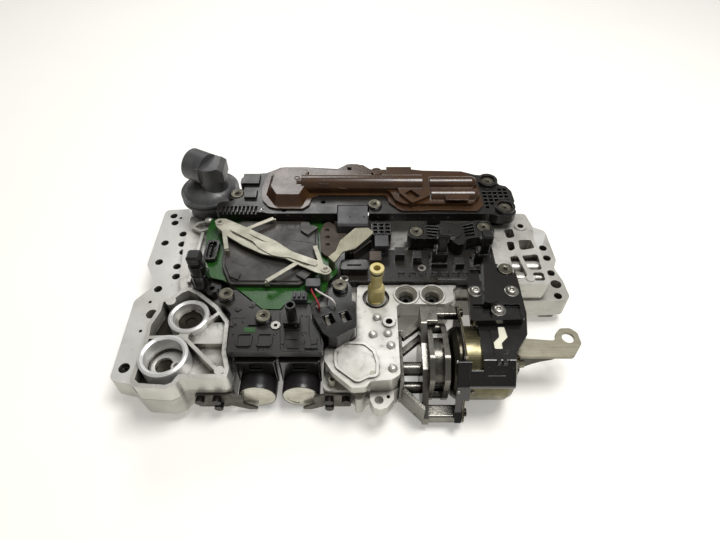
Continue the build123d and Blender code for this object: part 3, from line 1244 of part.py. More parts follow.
def selector_lever():
    """The flat steel lever with its eye and the deep web that sits in the rod."""
    low = LEVER_Z
    high = LEVER_Z + LEVER_T
    eye = [(10.0, -6.0), (9.5, 5.0), (4.5, 10.0), (-4.5, 10.0), (-10.0, 4.0), (-11.5, -3.0)]
    outline = [(LEVER_X, ACT_Y - 2.0), (EYE_X, ACT_Y - 2.5)]
    outline += [(EYE_X + dx, EYE_Y + dy) for dx, dy in eye]
    outline += [(LEVER_X + 3.0, ACT_Y + 17.0)]
    plate = prism(smooth(outline, 5), low, high)
    plate -= upright(EYE_X, EYE_Y, EYE_D, low, high)
    # The web's lower edge sweeps up from the rod to the plate
    sweep_z = [(31, low), (27, low - 3), (18, low - 6), (12, low - 9.5), (6, low - 14.0), (0, low - 19.5)]
    web = [(TANG_X, high), (TANG_X + 31, high)] + [(TANG_X + dx, z) for dx, z in sweep_z]
    front = ACT_Y - LEVER_T / 2
    return plate + extrude(Plane.XZ.offset(-front) * smooth(web, 1), LEVER_T, dir=(0, 1, 0))


def dowel_tube():
    """The brown dowel tube that stands on the lower casting."""
    tube = upright(-38.0, 14.5, 6, 0, 8)
    return tube - upright(-38.0, 14.5, 3.4, 0, 8)


def side_screw():
    """The small screw in the stepped hole of the left flange."""
    screw = upright(-214.1, 29.7, 8.4, -6, -3) + upright(-214.1, 29.7, 5.0, -13, -6)
    return screw - prism(Pos(-214.1, 29.7) * RegularPolygon(2, 6), -5, -3)


save("lower_valve_body", lower_valve_body())
save("separator_plate", separator_plate())
save("upper_valve_body", upper_valve_body())
save("accumulator_piston", accumulator_piston())
save("accumulator_spring", accumulator_spring())
save("retaining_ring", retaining_ring())
save("port_ring", port_ring())
for name, spool_y in zip(("front", "rear"), SPOOL_YS):
    save(name + "_spool", spool(spool_y))
    save(name + "_spool_spring", spool_spring(spool_y))
save("bore_plugs", *[spool_plug(y) for y in SPOOL_YS], cap_plug(), dowel_tube())
save("check_valve_cups", *port_cups())
save("oil_pipe", oil_pipe())
save("pipe_seal", pipe_seal())
long_screws = [flange_screw(*place) for place in THROUGH_SCREWS]
rear_screws = [short_flange_screw(*place, CARRIER_Z + 1) for place in REAR_SCREWS]
save("flange_screws", *long_screws, *rear_screws)
save("pan_screws", *[pan_screw(x, y, SADDLE_HIGH, SADDLE_LOW - 8) for x, y in SADDLE_SCREWS])
save("solenoid_cans", *[solenoid_can(x) for x in SOLENOID_XS])
save("solenoid_discs", *[solenoid_disc(x) for x in SOLENOID_XS])
save("solenoid_heads", *[solenoid_head(x) for x in SOLENOID_XS])
save("solenoid_brackets", solenoid_bracket(-1, SOLENOID_XS[0]), solenoid_bracket(1, SOLENOID_XS[1]))
bracket_places = bracket_screw_places(-1, SOLENOID_XS[0]) + bracket_screw_places(1, SOLENOID_XS[1])
save("small_screws", *[bracket_screw(x, z) for x, z in bracket_places], *seam_screws(), side_screw())
save("front_module", front_module())
save("clip_block", clip_block())
save("relay_module", relay_module())
save("contact_springs", *contact_springs())
save("grey_plugs", grey_plug(), fin_connector())
save("red_wire", wire(RED_WIRE, WIRE_D, "red wire"))
save("white_wire", wire(WHITE_WIRE, WIRE_D, "white wire"))
save("circuit_board", circuit_board())
save("electronics_tray", electronics_tray())
save("control_unit_cover", control_unit_cover())
save("clamp_spring", clamp_spring())
save("clamp_rivets", *clamp_rivets())
save("clamp_strap", clamp_strap())
save("left_frame", left_frame())
save("board_socket", board_socket())
save("brown_insulators", brown_insulator(), brown_chip())
save("component_blocks", grey_block(), terminal_box())
save("lattice_insert", lattice_insert())
save("ribbed_bracket", ribbed_bracket())
save("tower_sensors", *[tower_sensor(x, y) for x, y in TOWERS])
save("terminal_blocks", *terminal_blocks(), slotted_box(), *comb_bars())
save("eyelets", module_eyelet(), *plate_eyelets())
save("rear_carrier", rear_carrier())
save("brown_cover", brown_cover())
save("connector_body", connector_body())
save("connector_pins", *connector_pins())
save("connector_seal", connector_seal())
save("saddle_bracket", saddle_bracket())
save("actuator_housing", actuator_housing())
save("bus_bar", bus_bar())
save("actuator_can", actuator_can())
save("seam_flange", seam_flange())
save("front_drum", front_drum())
save("gear_cover", gear_cover())
save("actuator_bracket", actuator_bracket())
save("actuator_bush", actuator_bush())
save("output_rod", output_rod())
save("selector_lever", selector_lever())
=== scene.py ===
# %% [markdown]
# A transmission mechatronic unit lies on a white bench. It is a pressure-cast aluminium valve body with
# black moulded electronics on top, two solenoids at the front, a brown cover along the back, a round
# connector at the left and a motor actuator with a flat lever at the right. The castings and mouldings
# arrive as solids that carry the real sizes, so this lesson keeps their places and gives each piece its
# edges, its small parts and its finish.

# %% Load the solids
import json
from math import cos, pi, radians, sin

import bmesh
import bpy
import numpy as np
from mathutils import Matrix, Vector
from mathutils.bvhtree import BVHTree

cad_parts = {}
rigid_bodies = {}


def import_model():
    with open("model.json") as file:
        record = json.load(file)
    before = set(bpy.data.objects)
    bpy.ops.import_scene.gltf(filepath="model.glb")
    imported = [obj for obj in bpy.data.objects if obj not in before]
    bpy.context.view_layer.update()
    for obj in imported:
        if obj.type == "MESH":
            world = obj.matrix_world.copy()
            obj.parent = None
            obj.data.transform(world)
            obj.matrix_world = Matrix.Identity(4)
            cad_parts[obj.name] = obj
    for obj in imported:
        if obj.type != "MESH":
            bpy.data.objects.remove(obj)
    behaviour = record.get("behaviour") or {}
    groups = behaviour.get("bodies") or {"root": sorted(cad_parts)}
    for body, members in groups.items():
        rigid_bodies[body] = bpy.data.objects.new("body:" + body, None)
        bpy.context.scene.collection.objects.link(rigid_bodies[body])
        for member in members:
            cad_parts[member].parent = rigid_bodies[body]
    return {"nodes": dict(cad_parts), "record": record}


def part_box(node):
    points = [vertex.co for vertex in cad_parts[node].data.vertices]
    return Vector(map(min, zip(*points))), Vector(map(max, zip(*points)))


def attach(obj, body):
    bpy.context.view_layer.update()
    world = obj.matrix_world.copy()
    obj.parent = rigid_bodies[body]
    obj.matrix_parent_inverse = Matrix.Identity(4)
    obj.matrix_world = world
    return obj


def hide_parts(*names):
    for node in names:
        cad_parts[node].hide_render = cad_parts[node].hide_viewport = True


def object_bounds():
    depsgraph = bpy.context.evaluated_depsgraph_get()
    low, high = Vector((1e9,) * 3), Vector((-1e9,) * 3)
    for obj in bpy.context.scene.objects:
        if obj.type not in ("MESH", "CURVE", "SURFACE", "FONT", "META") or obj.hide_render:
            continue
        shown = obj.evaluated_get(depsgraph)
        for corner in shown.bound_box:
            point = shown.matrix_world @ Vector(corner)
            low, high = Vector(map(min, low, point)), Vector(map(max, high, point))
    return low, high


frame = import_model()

MM = 0.001
cad_box = [list(corner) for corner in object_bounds()]
nodes = frame["nodes"]
bodies = frame["record"]["behaviour"]["bodies"]
body_of_node = {name: body for body, names in bodies.items() for name in names}
print("solids:", len(nodes), "size in mm:", [round((b - a) / MM) for a, b in zip(*cad_box)])

# %% [markdown]
# The photograph was taken from above the front edge, looking about 48 degrees down. The camera comes first,
# so that every later choice is judged through it. The focal length follows from the picture's width in
# pixels.

# %% The camera
PICTURE = (720, 540)
FOCAL_PX = 522.0
CAMERA_AT = Vector((-15.3, -203.2, 382.0)) * MM
PITCH = 48.0

camera_data = bpy.data.cameras.new("bench_camera")
camera_data.sensor_width = 36.0
camera_data.lens = FOCAL_PX / PICTURE[0] * camera_data.sensor_width
camera = bpy.data.objects.new("bench_camera", camera_data)
camera.location = CAMERA_AT
camera.rotation_euler = (radians(90 - PITCH), 0, 0)
bpy.context.scene.collection.objects.link(camera)
bpy.context.scene.camera = camera
print("lens in mm:", round(camera_data.lens, 2))

# %% [markdown]
# Colours are written as sRGB hex values, as a paint chart gives them, and the renderer wants linear values.
# One function turns one into the other, and one small function adds a node with its settings and its links.
# Where several sockets of a node share a name, a socket is given by its number.

# %% Colour and node helpers
# The colour sockets of a Mix node: its two inputs and its output
COLOUR_A, COLOUR_B, COLOUR_OUT = 6, 7, 2


def linear(code):
    """A linear RGBA colour from an sRGB hex code."""
    channels = [int(code[i:i + 2], 16) / 255 for i in (1, 3, 5)]
    return tuple(c / 12.92 if c <= 0.04045 else ((c + 0.055) / 1.055) ** 2.4 for c in channels) + (1.0,)


def add(tree, kind, settings, links=()):
    """Adds a node. Settings are its properties or sockets, and links are (socket, source) pairs."""
    node = tree.nodes.new(kind)
    for key, value in settings.items():
        if isinstance(key, int) or key in node.inputs:
            node.inputs[key].default_value = value
        else:
            setattr(node, key, value)
    for key, source in links:
        tree.links.new(source, node.inputs[key])
    return node


def new_material(name):
    """An empty node material with its output, shader and object coordinates."""
    material = bpy.data.materials.new(name)
    material.use_nodes = True
    tree = material.node_tree
    tree.nodes.clear()
    shader = add(tree, "ShaderNodeBsdfPrincipled", {})
    add(tree, "ShaderNodeOutputMaterial", {}, [("Surface", shader.outputs["BSDF"])])
    place = add(tree, "ShaderNodeTexCoord", {}).outputs["Object"]
    return material, tree, shader, place


def dress(tree, shader, sources, numbers):
    """Links sources to sockets of the shader, and sets other sockets to plain numbers."""
    for socket, source in sources.items():
        tree.links.new(source, shader.inputs[socket])
    for socket, value in numbers.items():
        shader.inputs[socket].default_value = value


print("a mid grey in linear light:", round(linear("#808080")[0], 3))

# %% [markdown]
# The unit has worked in transmission oil, and the oil has dried as a brown film wherever a wall meets a
# floor. The darkening there is painted shade as well as oil, because it grows where a point sees little sky.
# The Ambient Occlusion node knows how much of the sky a point sees, so it finds these corners from any side.
# A little noise breaks the film up, and it makes the colour darker and the surface glossier.

# %% Oil and painted shade in the corners
SHADE_AND_OIL_REACH_MM = 9
SHADE_AND_OIL_MOST = 0.85


def oil_and_shade_in_corners(tree, place, colour, gloss, oil):
    """The colour and roughness sockets of a surface whose corners darken with oil and painted shade."""
    sky = add(tree, "ShaderNodeAmbientOcclusion", {"samples": 6, "Distance": SHADE_AND_OIL_REACH_MM * MM})
    drops = add(tree, "ShaderNodeTexNoise", {"Scale": 1 / (5 * MM), "Detail": 3.0}, [("Vector", place)])
    seen = add(tree, "ShaderNodeMath", {"operation": "MULTIPLY_ADD", 1: 0.5},
               [(0, drops.outputs["Fac"]), (2, sky.outputs["AO"])])
    shade_and_oil_film = add(tree, "ShaderNodeMapRange", {"From Min": 1.12, "From Max": 0.55, "To Max": SHADE_AND_OIL_MOST},
               [("Value", seen.outputs["Value"])])
    # Painted shade and oil: the colour turns towards the dark oil colour where little sky is seen
    darkened_by_oil_and_shade = add(tree, "ShaderNodeMix", {"data_type": "RGBA", COLOUR_B: linear(oil)},
                 [(0, shade_and_oil_film.outputs["Result"]), (COLOUR_A, colour)])
    wet = add(tree, "ShaderNodeMapRange", {"From Max": 1.0, "To Max": 0.18},
              [("Value", shade_and_oil_film.outputs["Result"]), ("To Min", gloss)])
    return darkened_by_oil_and_shade.outputs[COLOUR_OUT], wet.outputs["Result"]


print("oil reaches", SHADE_AND_OIL_REACH_MM, "mm out of a corner")

# %% [markdown]
# The two big castings are AlSi pressure-cast aluminium, left as they came from the die: a pale, warm,
# slightly patchy skin with a fine orange-peel grain and darker stains of oil in places. A plain metal
# shader would mirror the white room, so the skin is rough, and only partly metallic, because the oxide
# scatters light like paint. The real peel is about 0.4 mm and too fine for this picture, so it is drawn at
# 1.5 mm.

# %% Cast aluminium
def cast_aluminium(name, pale, mid, stain, metallic, roughness, oil="#2b261d"):
    """Pressure-cast alloy: broad patches, small stains and an orange-peel grain."""
    material, tree, shader, place = new_material(name)
    patches = add(tree, "ShaderNodeTexNoise", {"Scale": 1 / (45 * MM), "Detail": 4.0}, [("Vector", place)])
    patch = add(tree, "ShaderNodeMapRange", {"From Min": 0.35, "From Max": 0.65},
                [("Value", patches.outputs["Fac"])])
    skin = add(tree, "ShaderNodeMix", {"data_type": "RGBA", COLOUR_A: linear(mid), COLOUR_B: linear(pale)},
               [(0, patch.outputs["Result"])])
    stains = add(tree, "ShaderNodeTexNoise", {"Scale": 1 / (9 * MM), "Detail": 5.0, "Roughness": 0.7},
                 [("Vector", place)])
    mask = add(tree, "ShaderNodeMapRange", {"From Min": 0.6, "From Max": 0.76, "To Max": 0.5},
               [("Value", stains.outputs["Fac"])])
    stained = add(tree, "ShaderNodeMix", {"data_type": "RGBA", COLOUR_B: linear(stain)},
                  [(0, mask.outputs["Result"]), (COLOUR_A, skin.outputs[COLOUR_OUT])])
    gloss = add(tree, "ShaderNodeMapRange",
                {"From Min": 0.3, "From Max": 0.7, "To Min": roughness[1], "To Max": roughness[0]},
                [("Value", stains.outputs["Fac"])])
    peel = add(tree, "ShaderNodeTexNoise", {"Scale": 1 / (1.5 * MM), "Detail": 2.0}, [("Vector", place)])
    relief = add(tree, "ShaderNodeBump", {"Distance": 0.14 * MM, "Strength": 0.8},
                 [("Height", peel.outputs["Fac"])])
    # The corners are darkened as oil and as painted shade
    colour, oily = oil_and_shade_in_corners(tree, place, stained.outputs[COLOUR_OUT], gloss.outputs["Result"], oil)
    dress(tree, shader, {"Base Color": colour, "Roughness": oily, "Normal": relief.outputs["Normal"]},
          {"Metallic": metallic})
    return material


# The valve body is bright with a soft sheen, the flange is greyer, and the actuator castings are darker
cast_main = cast_aluminium("cast_alsi_valve_body", "#e2e0d9", "#bfbcb3", "#6b675c", 0.6, (0.28, 0.46))
cast_right = cast_aluminium("cast_alsi_flange", "#cfcdc5", "#aeaba3", "#6d695f", 0.5, (0.34, 0.52))
cast_actuator = cast_aluminium("cast_alsi_actuator", "#8f8c84", "#63605a", "#34312c", 0.8, (0.2, 0.38),
                               "#17140f")
# A milled joint face is paler and more even, and on the top faces that paleness is partly painted light
joint_face_with_painted_light = cast_aluminium("milled_alsi_joint_face_painted_light", "#e6e5e0", "#d3d1ca", "#98958b", 0.35, (0.3, 0.44))
# The floor of a bore is dark and glossy, partly as oil standing in it and partly as painted shade
oil_and_painted_shade_floor = cast_aluminium("oil_and_painted_shade_bore_floor", "#4a443a", "#2e2a23", "#15120e", 0.6, (0.1, 0.22), "#0e0c09")
print("castings:", [m.name for m in (cast_main, cast_right, cast_actuator, joint_face_with_painted_light, oil_and_painted_shade_floor)])

# %% [markdown]
# Machined faces, such as the collars and the conical ports, keep the fine circles of the cutting tool.
# Rings of a wave texture about each bore's own axis make that lay. The real feed is about 0.1 mm, and the
# rings are drawn at 1.2 mm so that they show.

# %% Turned aluminium
RING_PITCH_MM = 1.2
RING_AT = (-174.4, 27.4, 0)
REAR_BORE_AT = (-163.0, 68.5, 0)
CONE_PORTS_AT = [(26.3, 94.5, 0), (49.8, 94.5, 0)]


def turned_metal(name, bright, dark, centre, metallic=0.45):
    """Turned metal with rings about an upright axis."""
    material, tree, shader, place = new_material(name)
    moved = add(tree, "ShaderNodeMapping", {"Location": [-c * MM for c in centre]}, [("Vector", place)])
    # A wave texture repeats after pi / (10 * Scale)
    rings = add(tree, "ShaderNodeTexWave",
                {"wave_type": "RINGS", "rings_direction": "Z", "Detail": 2.0,
                 "Scale": pi / (10 * RING_PITCH_MM * MM), "Distortion": 0.4},
                [("Vector", moved.outputs["Vector"])])
    lay = add(tree, "ShaderNodeMix", {"data_type": "RGBA", COLOUR_A: linear(dark), COLOUR_B: linear(bright)},
              [(0, rings.outputs["Fac"])])
    smears = add(tree, "ShaderNodeTexNoise", {"Scale": 1 / (6 * MM), "Detail": 3.0}, [("Vector", place)])
    gloss = add(tree, "ShaderNodeMapRange",
                {"From Min": 0.3, "From Max": 0.7, "To Min": 0.26, "To Max": 0.42},
                [("Value", smears.outputs["Fac"])])
    relief = add(tree, "ShaderNodeBump", {"Distance": 0.02 * MM, "Strength": 0.5},
                 [("Height", rings.outputs["Fac"])])
    dress(tree, shader, {"Base Color": lay.outputs[COLOUR_OUT], "Roughness": gloss.outputs["Result"],
                         "Normal": relief.outputs["Normal"]}, {"Metallic": metallic})
    return material


# Fresh cuts are almost white, and the collars are whiter still as a painted highlight; the cones are
# painted greyer, as shade inside the ports
ring_metal = turned_metal("turned_aluminium_ring", "#efeeea", "#cfcdc6", RING_AT, metallic=0.6)
front_collar_with_painted_highlight = turned_metal("turned_front_collar_painted_highlight", "#f7f7f5", "#dddcd8", RING_AT)
rear_collar_with_painted_highlight = turned_metal("turned_rear_collar_painted_highlight", "#f2f1ee", "#d3d1cc", REAR_BORE_AT)
cone_metals_painted_shade = [turned_metal("turned_cone_port_painted_shade_" + side, "#bcb8ad", "#8e897d", place)
               for side, place in zip(("left", "right"), CONE_PORTS_AT)]
print("turned:", [m.name for m in (ring_metal, front_collar_with_painted_highlight, rear_collar_with_painted_highlight, *cone_metals_painted_shade)])

# %% [markdown]
# Rolled strip, drawn cans, ground rods and plated screws share one look: fine scratches along the way the
# metal was worked, over broader clouds of plating and fingerprints. Noise that is pulled out along one axis
# makes the scratches, and the axis, tone and gloss change from piece to piece.

# %% Rolled, drawn and plated metals
X, Y, Z = 0, 1, 2
PULLED_OUT = 0.04


def brushed_metal(name, bright, dark, along, metallic, roughness, scratch_mm=0.7):
    """Worked metal whose scratches run along one axis."""
    material, tree, shader, place = new_material(name)
    stretch = [1.0, 1.0, 1.0]
    stretch[along] = PULLED_OUT
    pulled = add(tree, "ShaderNodeMapping", {"Scale": stretch}, [("Vector", place)])
    lines = add(tree, "ShaderNodeTexNoise", {"Scale": 1 / (scratch_mm * MM), "Detail": 3.0},
                [("Vector", pulled.outputs["Vector"])])
    clouds = add(tree, "ShaderNodeTexNoise", {"Scale": 1 / (12 * MM), "Detail": 4.0}, [("Vector", place)])
    both = add(tree, "ShaderNodeMath", {"operation": "ADD"},
               [(0, lines.outputs["Fac"]), (1, clouds.outputs["Fac"])])
    tone = add(tree, "ShaderNodeMapRange", {"From Min": 0.75, "From Max": 1.25},
               [("Value", both.outputs["Value"])])
    colour = add(tree, "ShaderNodeMix",
                 {"data_type": "RGBA", COLOUR_A: linear(dark), COLOUR_B: linear(bright)},
                 [(0, tone.outputs["Result"])])
    gloss = add(tree, "ShaderNodeMapRange",
                {"From Min": 0.3, "From Max": 0.7, "To Min": roughness + 0.1, "To Max": roughness - 0.06},
                [("Value", clouds.outputs["Fac"])])
    relief = add(tree, "ShaderNodeBump", {"Distance": 0.01 * MM, "Strength": 0.5},
                 [("Height", lines.outputs["Fac"])])
    dress(tree, shader, {"Base Color": colour.outputs[COLOUR_OUT], "Roughness": gloss.outputs["Result"],
                         "Normal": relief.outputs["Normal"]}, {"Metallic": metallic})
    return material


# Rolled strip and zinc flake stay pale and matt, and the web of the lever is painted dark as shade
spring_steel = brushed_metal("rolled_spring_steel", "#aaa798", "#a09c8d", X, 0.6, 0.42)
strap_steel = brushed_metal("rolled_strap_steel", "#98947f", "#858170", Y, 0.65, 0.42)
lever_steel = brushed_metal("zinc_flaked_lever_steel", "#a5a08d", "#878170", X, 0.65, 0.4)
lever_web_painted_shade = brushed_metal("painted_shade_lever_web", "#4a463c", "#2b2822", X, 0.7, 0.24)
# Phosphate gives a dark warm grey, and black oxide is nearly black with a shine
bracket_steel = brushed_metal("phosphated_bracket_steel", "#6f6a62", "#3f3b36", X, 0.7, 0.38)
screw_steel = brushed_metal("phosphated_screw_steel", "#6f6b5e", "#565247", Z, 0.75, 0.36, 0.9)
clip_steel = brushed_metal("black_oxide_clip_screw_steel", "#3b3834", "#1f1d1b", Z, 0.75, 0.26, 0.9)
# Zinc plating is bright and mirrors the room, and the disc of a solenoid is a warm white
bright_steel = brushed_metal("zinc_plated_screw_steel", "#cbc8c0", "#96928a", Z, 0.9, 0.26, 0.9)
disc_steel = brushed_metal("plated_solenoid_disc_steel", "#dedbcd", "#b9b4a4", X, 0.6, 0.32)
# Yellow passivation tints the can olive, a dark one turns the drum brown, and brass is golden
can_plate = brushed_metal("yellow_passivated_can_steel", "#7d7659", "#4c4733", X, 0.8, 0.28, 0.8)
drum_plate = brushed_metal("dark_passivated_drum_steel", "#3b372c", "#1b1914", X, 0.75, 0.24)
bush_brass = brushed_metal("turned_bush_brass", "#c3a05a", "#8b6c32", X, 0.9, 0.28)
print("worked metals:", [m.name for m in bpy.data.materials if m.name.endswith(("_steel", "_brass"))])

# %% [markdown]
# Almost everything above the castings is glass-filled nylon, PA66 or PPS. It comes out of a lightly eroded
# mould, so it is nearly black with a soft sheen, and oil makes it glossier in patches. The grain of such a
# mould is about 0.2 mm and is drawn at 0.9 mm. Each moulding gets its own tone, because warmer and cooler
# blacks lie side by side. Rubber, lacquer and the skin of the wires are made the same way with other values.

# %% Moulded plastics
def moulded(name, colour, lighter, roughness, grain_mm=0.9, patch_mm=18, coat=0.0):
    """An injection-moulded plastic with a mould grain and patches of oil."""
    material, tree, shader, place = new_material(name)
    oil = add(tree, "ShaderNodeTexNoise", {"Scale": 1 / (patch_mm * MM), "Detail": 4.0, "Roughness": 0.6},
              [("Vector", place)])
    patch = add(tree, "ShaderNodeMapRange", {"From Min": 0.38, "From Max": 0.66},
                [("Value", oil.outputs["Fac"])])
    tone = add(tree, "ShaderNodeMix",
               {"data_type": "RGBA", COLOUR_A: linear(colour), COLOUR_B: linear(lighter)},
               [(0, patch.outputs["Result"])])
    gloss = add(tree, "ShaderNodeMapRange",
                {"From Min": 0.3, "From Max": 0.7, "To Min": roughness[1], "To Max": roughness[0]},
                [("Value", oil.outputs["Fac"])])
    erosion = add(tree, "ShaderNodeTexNoise", {"Scale": 1 / (grain_mm * MM), "Detail": 2.0},
                  [("Vector", place)])
    relief = add(tree, "ShaderNodeBump", {"Distance": 0.03 * MM, "Strength": 0.6},
                 [("Height", erosion.outputs["Fac"])])
    dress(tree, shader, {"Base Color": tone.outputs[COLOUR_OUT], "Roughness": gloss.outputs["Result"],
                         "Normal": relief.outputs["Normal"]},
          {"IOR": 1.52, "Coat Weight": coat, "Coat Roughness": 0.12})
    return material


# PA66 is nearly black, and its film of oil shines like a coat, most of all on the housing
black_nylon = moulded("pa66_black_moulding", "#13110f", "#24211c", (0.24, 0.46), coat=0.12)
contact_nylon = moulded("pa66_contact_plate", "#14120f", "#2a261f", (0.2, 0.42), coat=0.3)
saddle_nylon = moulded("pa66_saddle_moulding", "#121110", "#1d1b18", (0.14, 0.3), coat=0.4)
housing_nylon = moulded("pa66_housing_moulding", "#0d0c0b", "#191714", (0.12, 0.28), coat=0.5)
tower_nylon = moulded("pa66_tower_moulding", "#0e0d0c", "#1b1916", (0.18, 0.38), coat=0.4)
# The connector stands clear of the oil, and PPS and PBT are matt greys beside it
connector_nylon = moulded("pa66_connector_moulding", "#444445", "#5b5a59", (0.32, 0.5))
cover_plastic = moulded("pps_control_unit_lid", "#2b2823", "#3d3933", (0.34, 0.55))
grey_plastic = moulded("pbt_grey_moulding", "#3c3c3e", "#525052", (0.36, 0.54))
# The brown cover glows where light runs along it, and fibre board stays dull
brown_shell = moulded("pa66_brown_cover", "#3a2413", "#4a321c", (0.18, 0.32), coat=0.15)
brown_insulation = moulded("fibre_insulator_brown", "#352a21", "#4b3d31", (0.5, 0.7))
# PEEK is straw yellow, nitrile rubber a flat black, and silicone even and soft in colour
pipe_plastic = moulded("peek_yellow_pipe", "#cbb866", "#dfd198", (0.3, 0.45))
seal_rubber = moulded("nbr_seal_rubber", "#141414", "#1f1f1f", (0.5, 0.65))
red_insulation = moulded("silicone_red_wire", "#8d1f22", "#b0383a", (0.4, 0.55), 0.5, 4)
white_insulation = moulded("silicone_white_wire", "#cfc6c2", "#e8e2de", (0.4, 0.55), 0.5, 4)
# Lacquer leaves the bus bar cream, and powder coating gives the cans a low, even gloss
bus_cream = moulded("lacquered_bus_bar", "#e9e5cb", "#f3f0dc", (0.3, 0.42))
can_black = moulded("powder_coated_solenoid_can", "#191717", "#2a2727", (0.24, 0.4))
print("materials so far:", len(bpy.data.materials))

# %% [markdown]
# The circuit board is FR4 under a green solder mask. The mask is glossy, lets the copper under it show as
# lighter tracks, and is studded with small plated holes, which a fine cell pattern stands for.

# %% Solder mask
def solder_mask(name):
    """Green solder mask with lighter tracks and plated dots."""
    material, tree, shader, place = new_material(name)
    tracks = add(tree, "ShaderNodeTexBrick",
                 {"Scale": 1 / (9 * MM), "Color1": linear("#1a4d12"), "Color2": linear("#225c18"),
                  "Mortar": linear("#123b0b"), "Mortar Size": 0.03}, [("Vector", place)])
    dots = add(tree, "ShaderNodeTexVoronoi", {"Scale": 1 / (2.6 * MM)}, [("Vector", place)])
    plated = add(tree, "ShaderNodeMath", {"operation": "LESS_THAN", 1: 0.2}, [(0, dots.outputs["Distance"])])
    mixed = add(tree, "ShaderNodeMix", {"data_type": "RGBA", COLOUR_B: linear("#4a6c33")},
                [(0, plated.outputs["Value"]), (COLOUR_A, tracks.outputs["Color"])])
    relief = add(tree, "ShaderNodeBump", {"Distance": 0.03 * MM, "Strength": 0.5},
                 [("Height", tracks.outputs["Fac"])])
    dress(tree, shader, {"Base Color": mixed.outputs[COLOUR_OUT], "Normal": relief.outputs["Normal"]},
          {"Roughness": 0.3})
    return material


board_mask = solder_mask("fr4_green_solder_mask")
print("board:", board_mask.name)

# %% [markdown]
# A moulding or a casting never has a knife edge, so every solid is copied and its edges are rounded with a
# Bevel modifier. One width for a whole piece would cross over itself at a thin rib, and the clamp of the
# modifier would shrink it everywhere. So each edge gets its own weight: a smooth run of edges shares one
# width, and that width is at most 0.4 of the room that the faces beside it have.

# %% Sharp edges that run on smoothly
SHARP = radians(32)
BEND = cos(radians(25))


def smooth_runs(shape, sharp):
    """Numbers the sharp edges so that those of one smooth run share a number."""
    leader = {edge: edge for edge in sharp}

    def first(edge):
        while leader[edge] is not edge:
            edge = leader[edge]
        return edge

    for vert in shape.verts:
        own = [edge for edge in vert.link_edges if edge in leader]
        if len(own) == 2:
            ways = [(edge.other_vert(vert).co - vert.co).normalized() for edge in own]
            if ways[0].dot(ways[1]) < -BEND:
                leader[first(own[0])] = first(own[1])
    return {edge: first(edge) for edge in sharp}


# %% The room beside each sharp edge
ROOM_SHARE = 0.4
# Where along an edge the room is measured, and how far across the face a thing must lie to count
ALONG = (0.02, 0.34, 0.66, 0.98)
ACROSS_SHARE = 0.35
FACING_SHARE = 0.55


def room_in_face(face, run, room):
    """Lowers the room of each sharp edge of a face to the distance of what lies across from it."""
    edges = list(face.edges)
    start = np.array([edge.verts[0].co for edge in edges])
    span = np.array([edge.verts[1].co for edge in edges]) - start
    length = np.maximum(np.linalg.norm(span, axis=1), 1e-9)
    ends = np.array([[vert.index for vert in edge.verts] for edge in edges])
    inward = {loop.edge: face.normal.cross(loop.link_loop_next.vert.co - loop.vert.co) for loop in face.loops}
    for i, edge in enumerate(edges):
        if edge not in run or inward[edge].length < 1e-12:
            continue
        into = np.array(inward[edge].normalized())
        touching = (ends == ends[i, 0]).any(1) | (ends == ends[i, 1]).any(1)
        for j in np.nonzero(touching)[0]:
            across = abs(span[j] @ into)
            if run.get(edges[j]) is not run[edge] and across > ACROSS_SHARE * length[j]:
                room[edge] = min(room[edge], across)
        apart = ~touching
        if not apart.any():
            continue
        for share in ALONG:
            point = start[i] + share * span[i]
            foot = np.clip(((point - start[apart]) * span[apart]).sum(1) / length[apart] ** 2, 0, 1)
            way = start[apart] + foot[:, None] * span[apart] - point
            distance = np.linalg.norm(way, axis=1)
            facing = way @ into > FACING_SHARE * distance
            if facing.any():
                room[edge] = min(room[edge], distance[facing].min())


def edge_widths(shape, radius):
    """The bevel width of each sharp edge, which is the same all along a smooth run."""
    sharp = [edge for edge in shape.edges if edge.is_manifold and edge.calc_face_angle(0) > SHARP]
    run = smooth_runs(shape, sharp)
    room = {edge: radius / ROOM_SHARE for edge in sharp}
    for face in shape.faces:
        room_in_face(face, run, room)
    least = {}
    for edge in sharp:
        least[run[edge]] = min(least.get(run[edge], radius), ROOM_SHARE * room[edge])
    return {edge: least[run[edge]] for edge in sharp}


# %% [markdown]
# Every added piece is a Blender object with one finished mesh, a material, a body that it rides on and a
# slot that names its finish. Modifiers do part of the work, and their result is then kept as a plain mesh.
# A long narrow face can cross itself after a bevel, which shows as a black wedge, so that is measured.

# %% Meshes and pieces
FOLD_AREA = 0.05 * MM * MM
FOLD_SHARE = 0.02
WELD = 0.002 * MM


def finished_mesh(piece):
    """The mesh of an object after its modifiers."""
    bpy.context.view_layer.update()
    graph = bpy.context.evaluated_depsgraph_get()
    return bpy.data.meshes.new_from_object(piece.evaluated_get(graph))


def plain_mesh(piece):
    """Turns an object with modifiers into an object with the finished mesh."""
    mesh = finished_mesh(piece)
    piece.modifiers.clear()
    piece.data = mesh
    return piece


def merged(mesh):
    """An editable shape of a mesh, with the loose corners of its triangles merged."""
    shape = bmesh.new()
    shape.from_mesh(mesh)
    bmesh.ops.remove_doubles(shape, verts=shape.verts, dist=WELD)
    return shape


def mesh_of(shape, name):
    """The mesh of an edited shape, which is then let go."""
    mesh = bpy.data.meshes.new(name)
    shape.to_mesh(mesh)
    shape.free()
    return mesh


def is_folded(mesh):
    """True where a face crosses itself, because its triangles then cover more than its own area."""
    mesh.calc_loop_triangles()
    covered = np.zeros(len(mesh.polygons))
    for part in mesh.loop_triangles:
        covered[part.polygon_index] += part.area
    own = np.array([face.area for face in mesh.polygons])
    return bool((covered - own > FOLD_SHARE * own + FOLD_AREA).any())


def shade_smooth(mesh):
    """Lets the light run on over every edge of a mesh."""
    for face in mesh.polygons:
        face.use_smooth = True


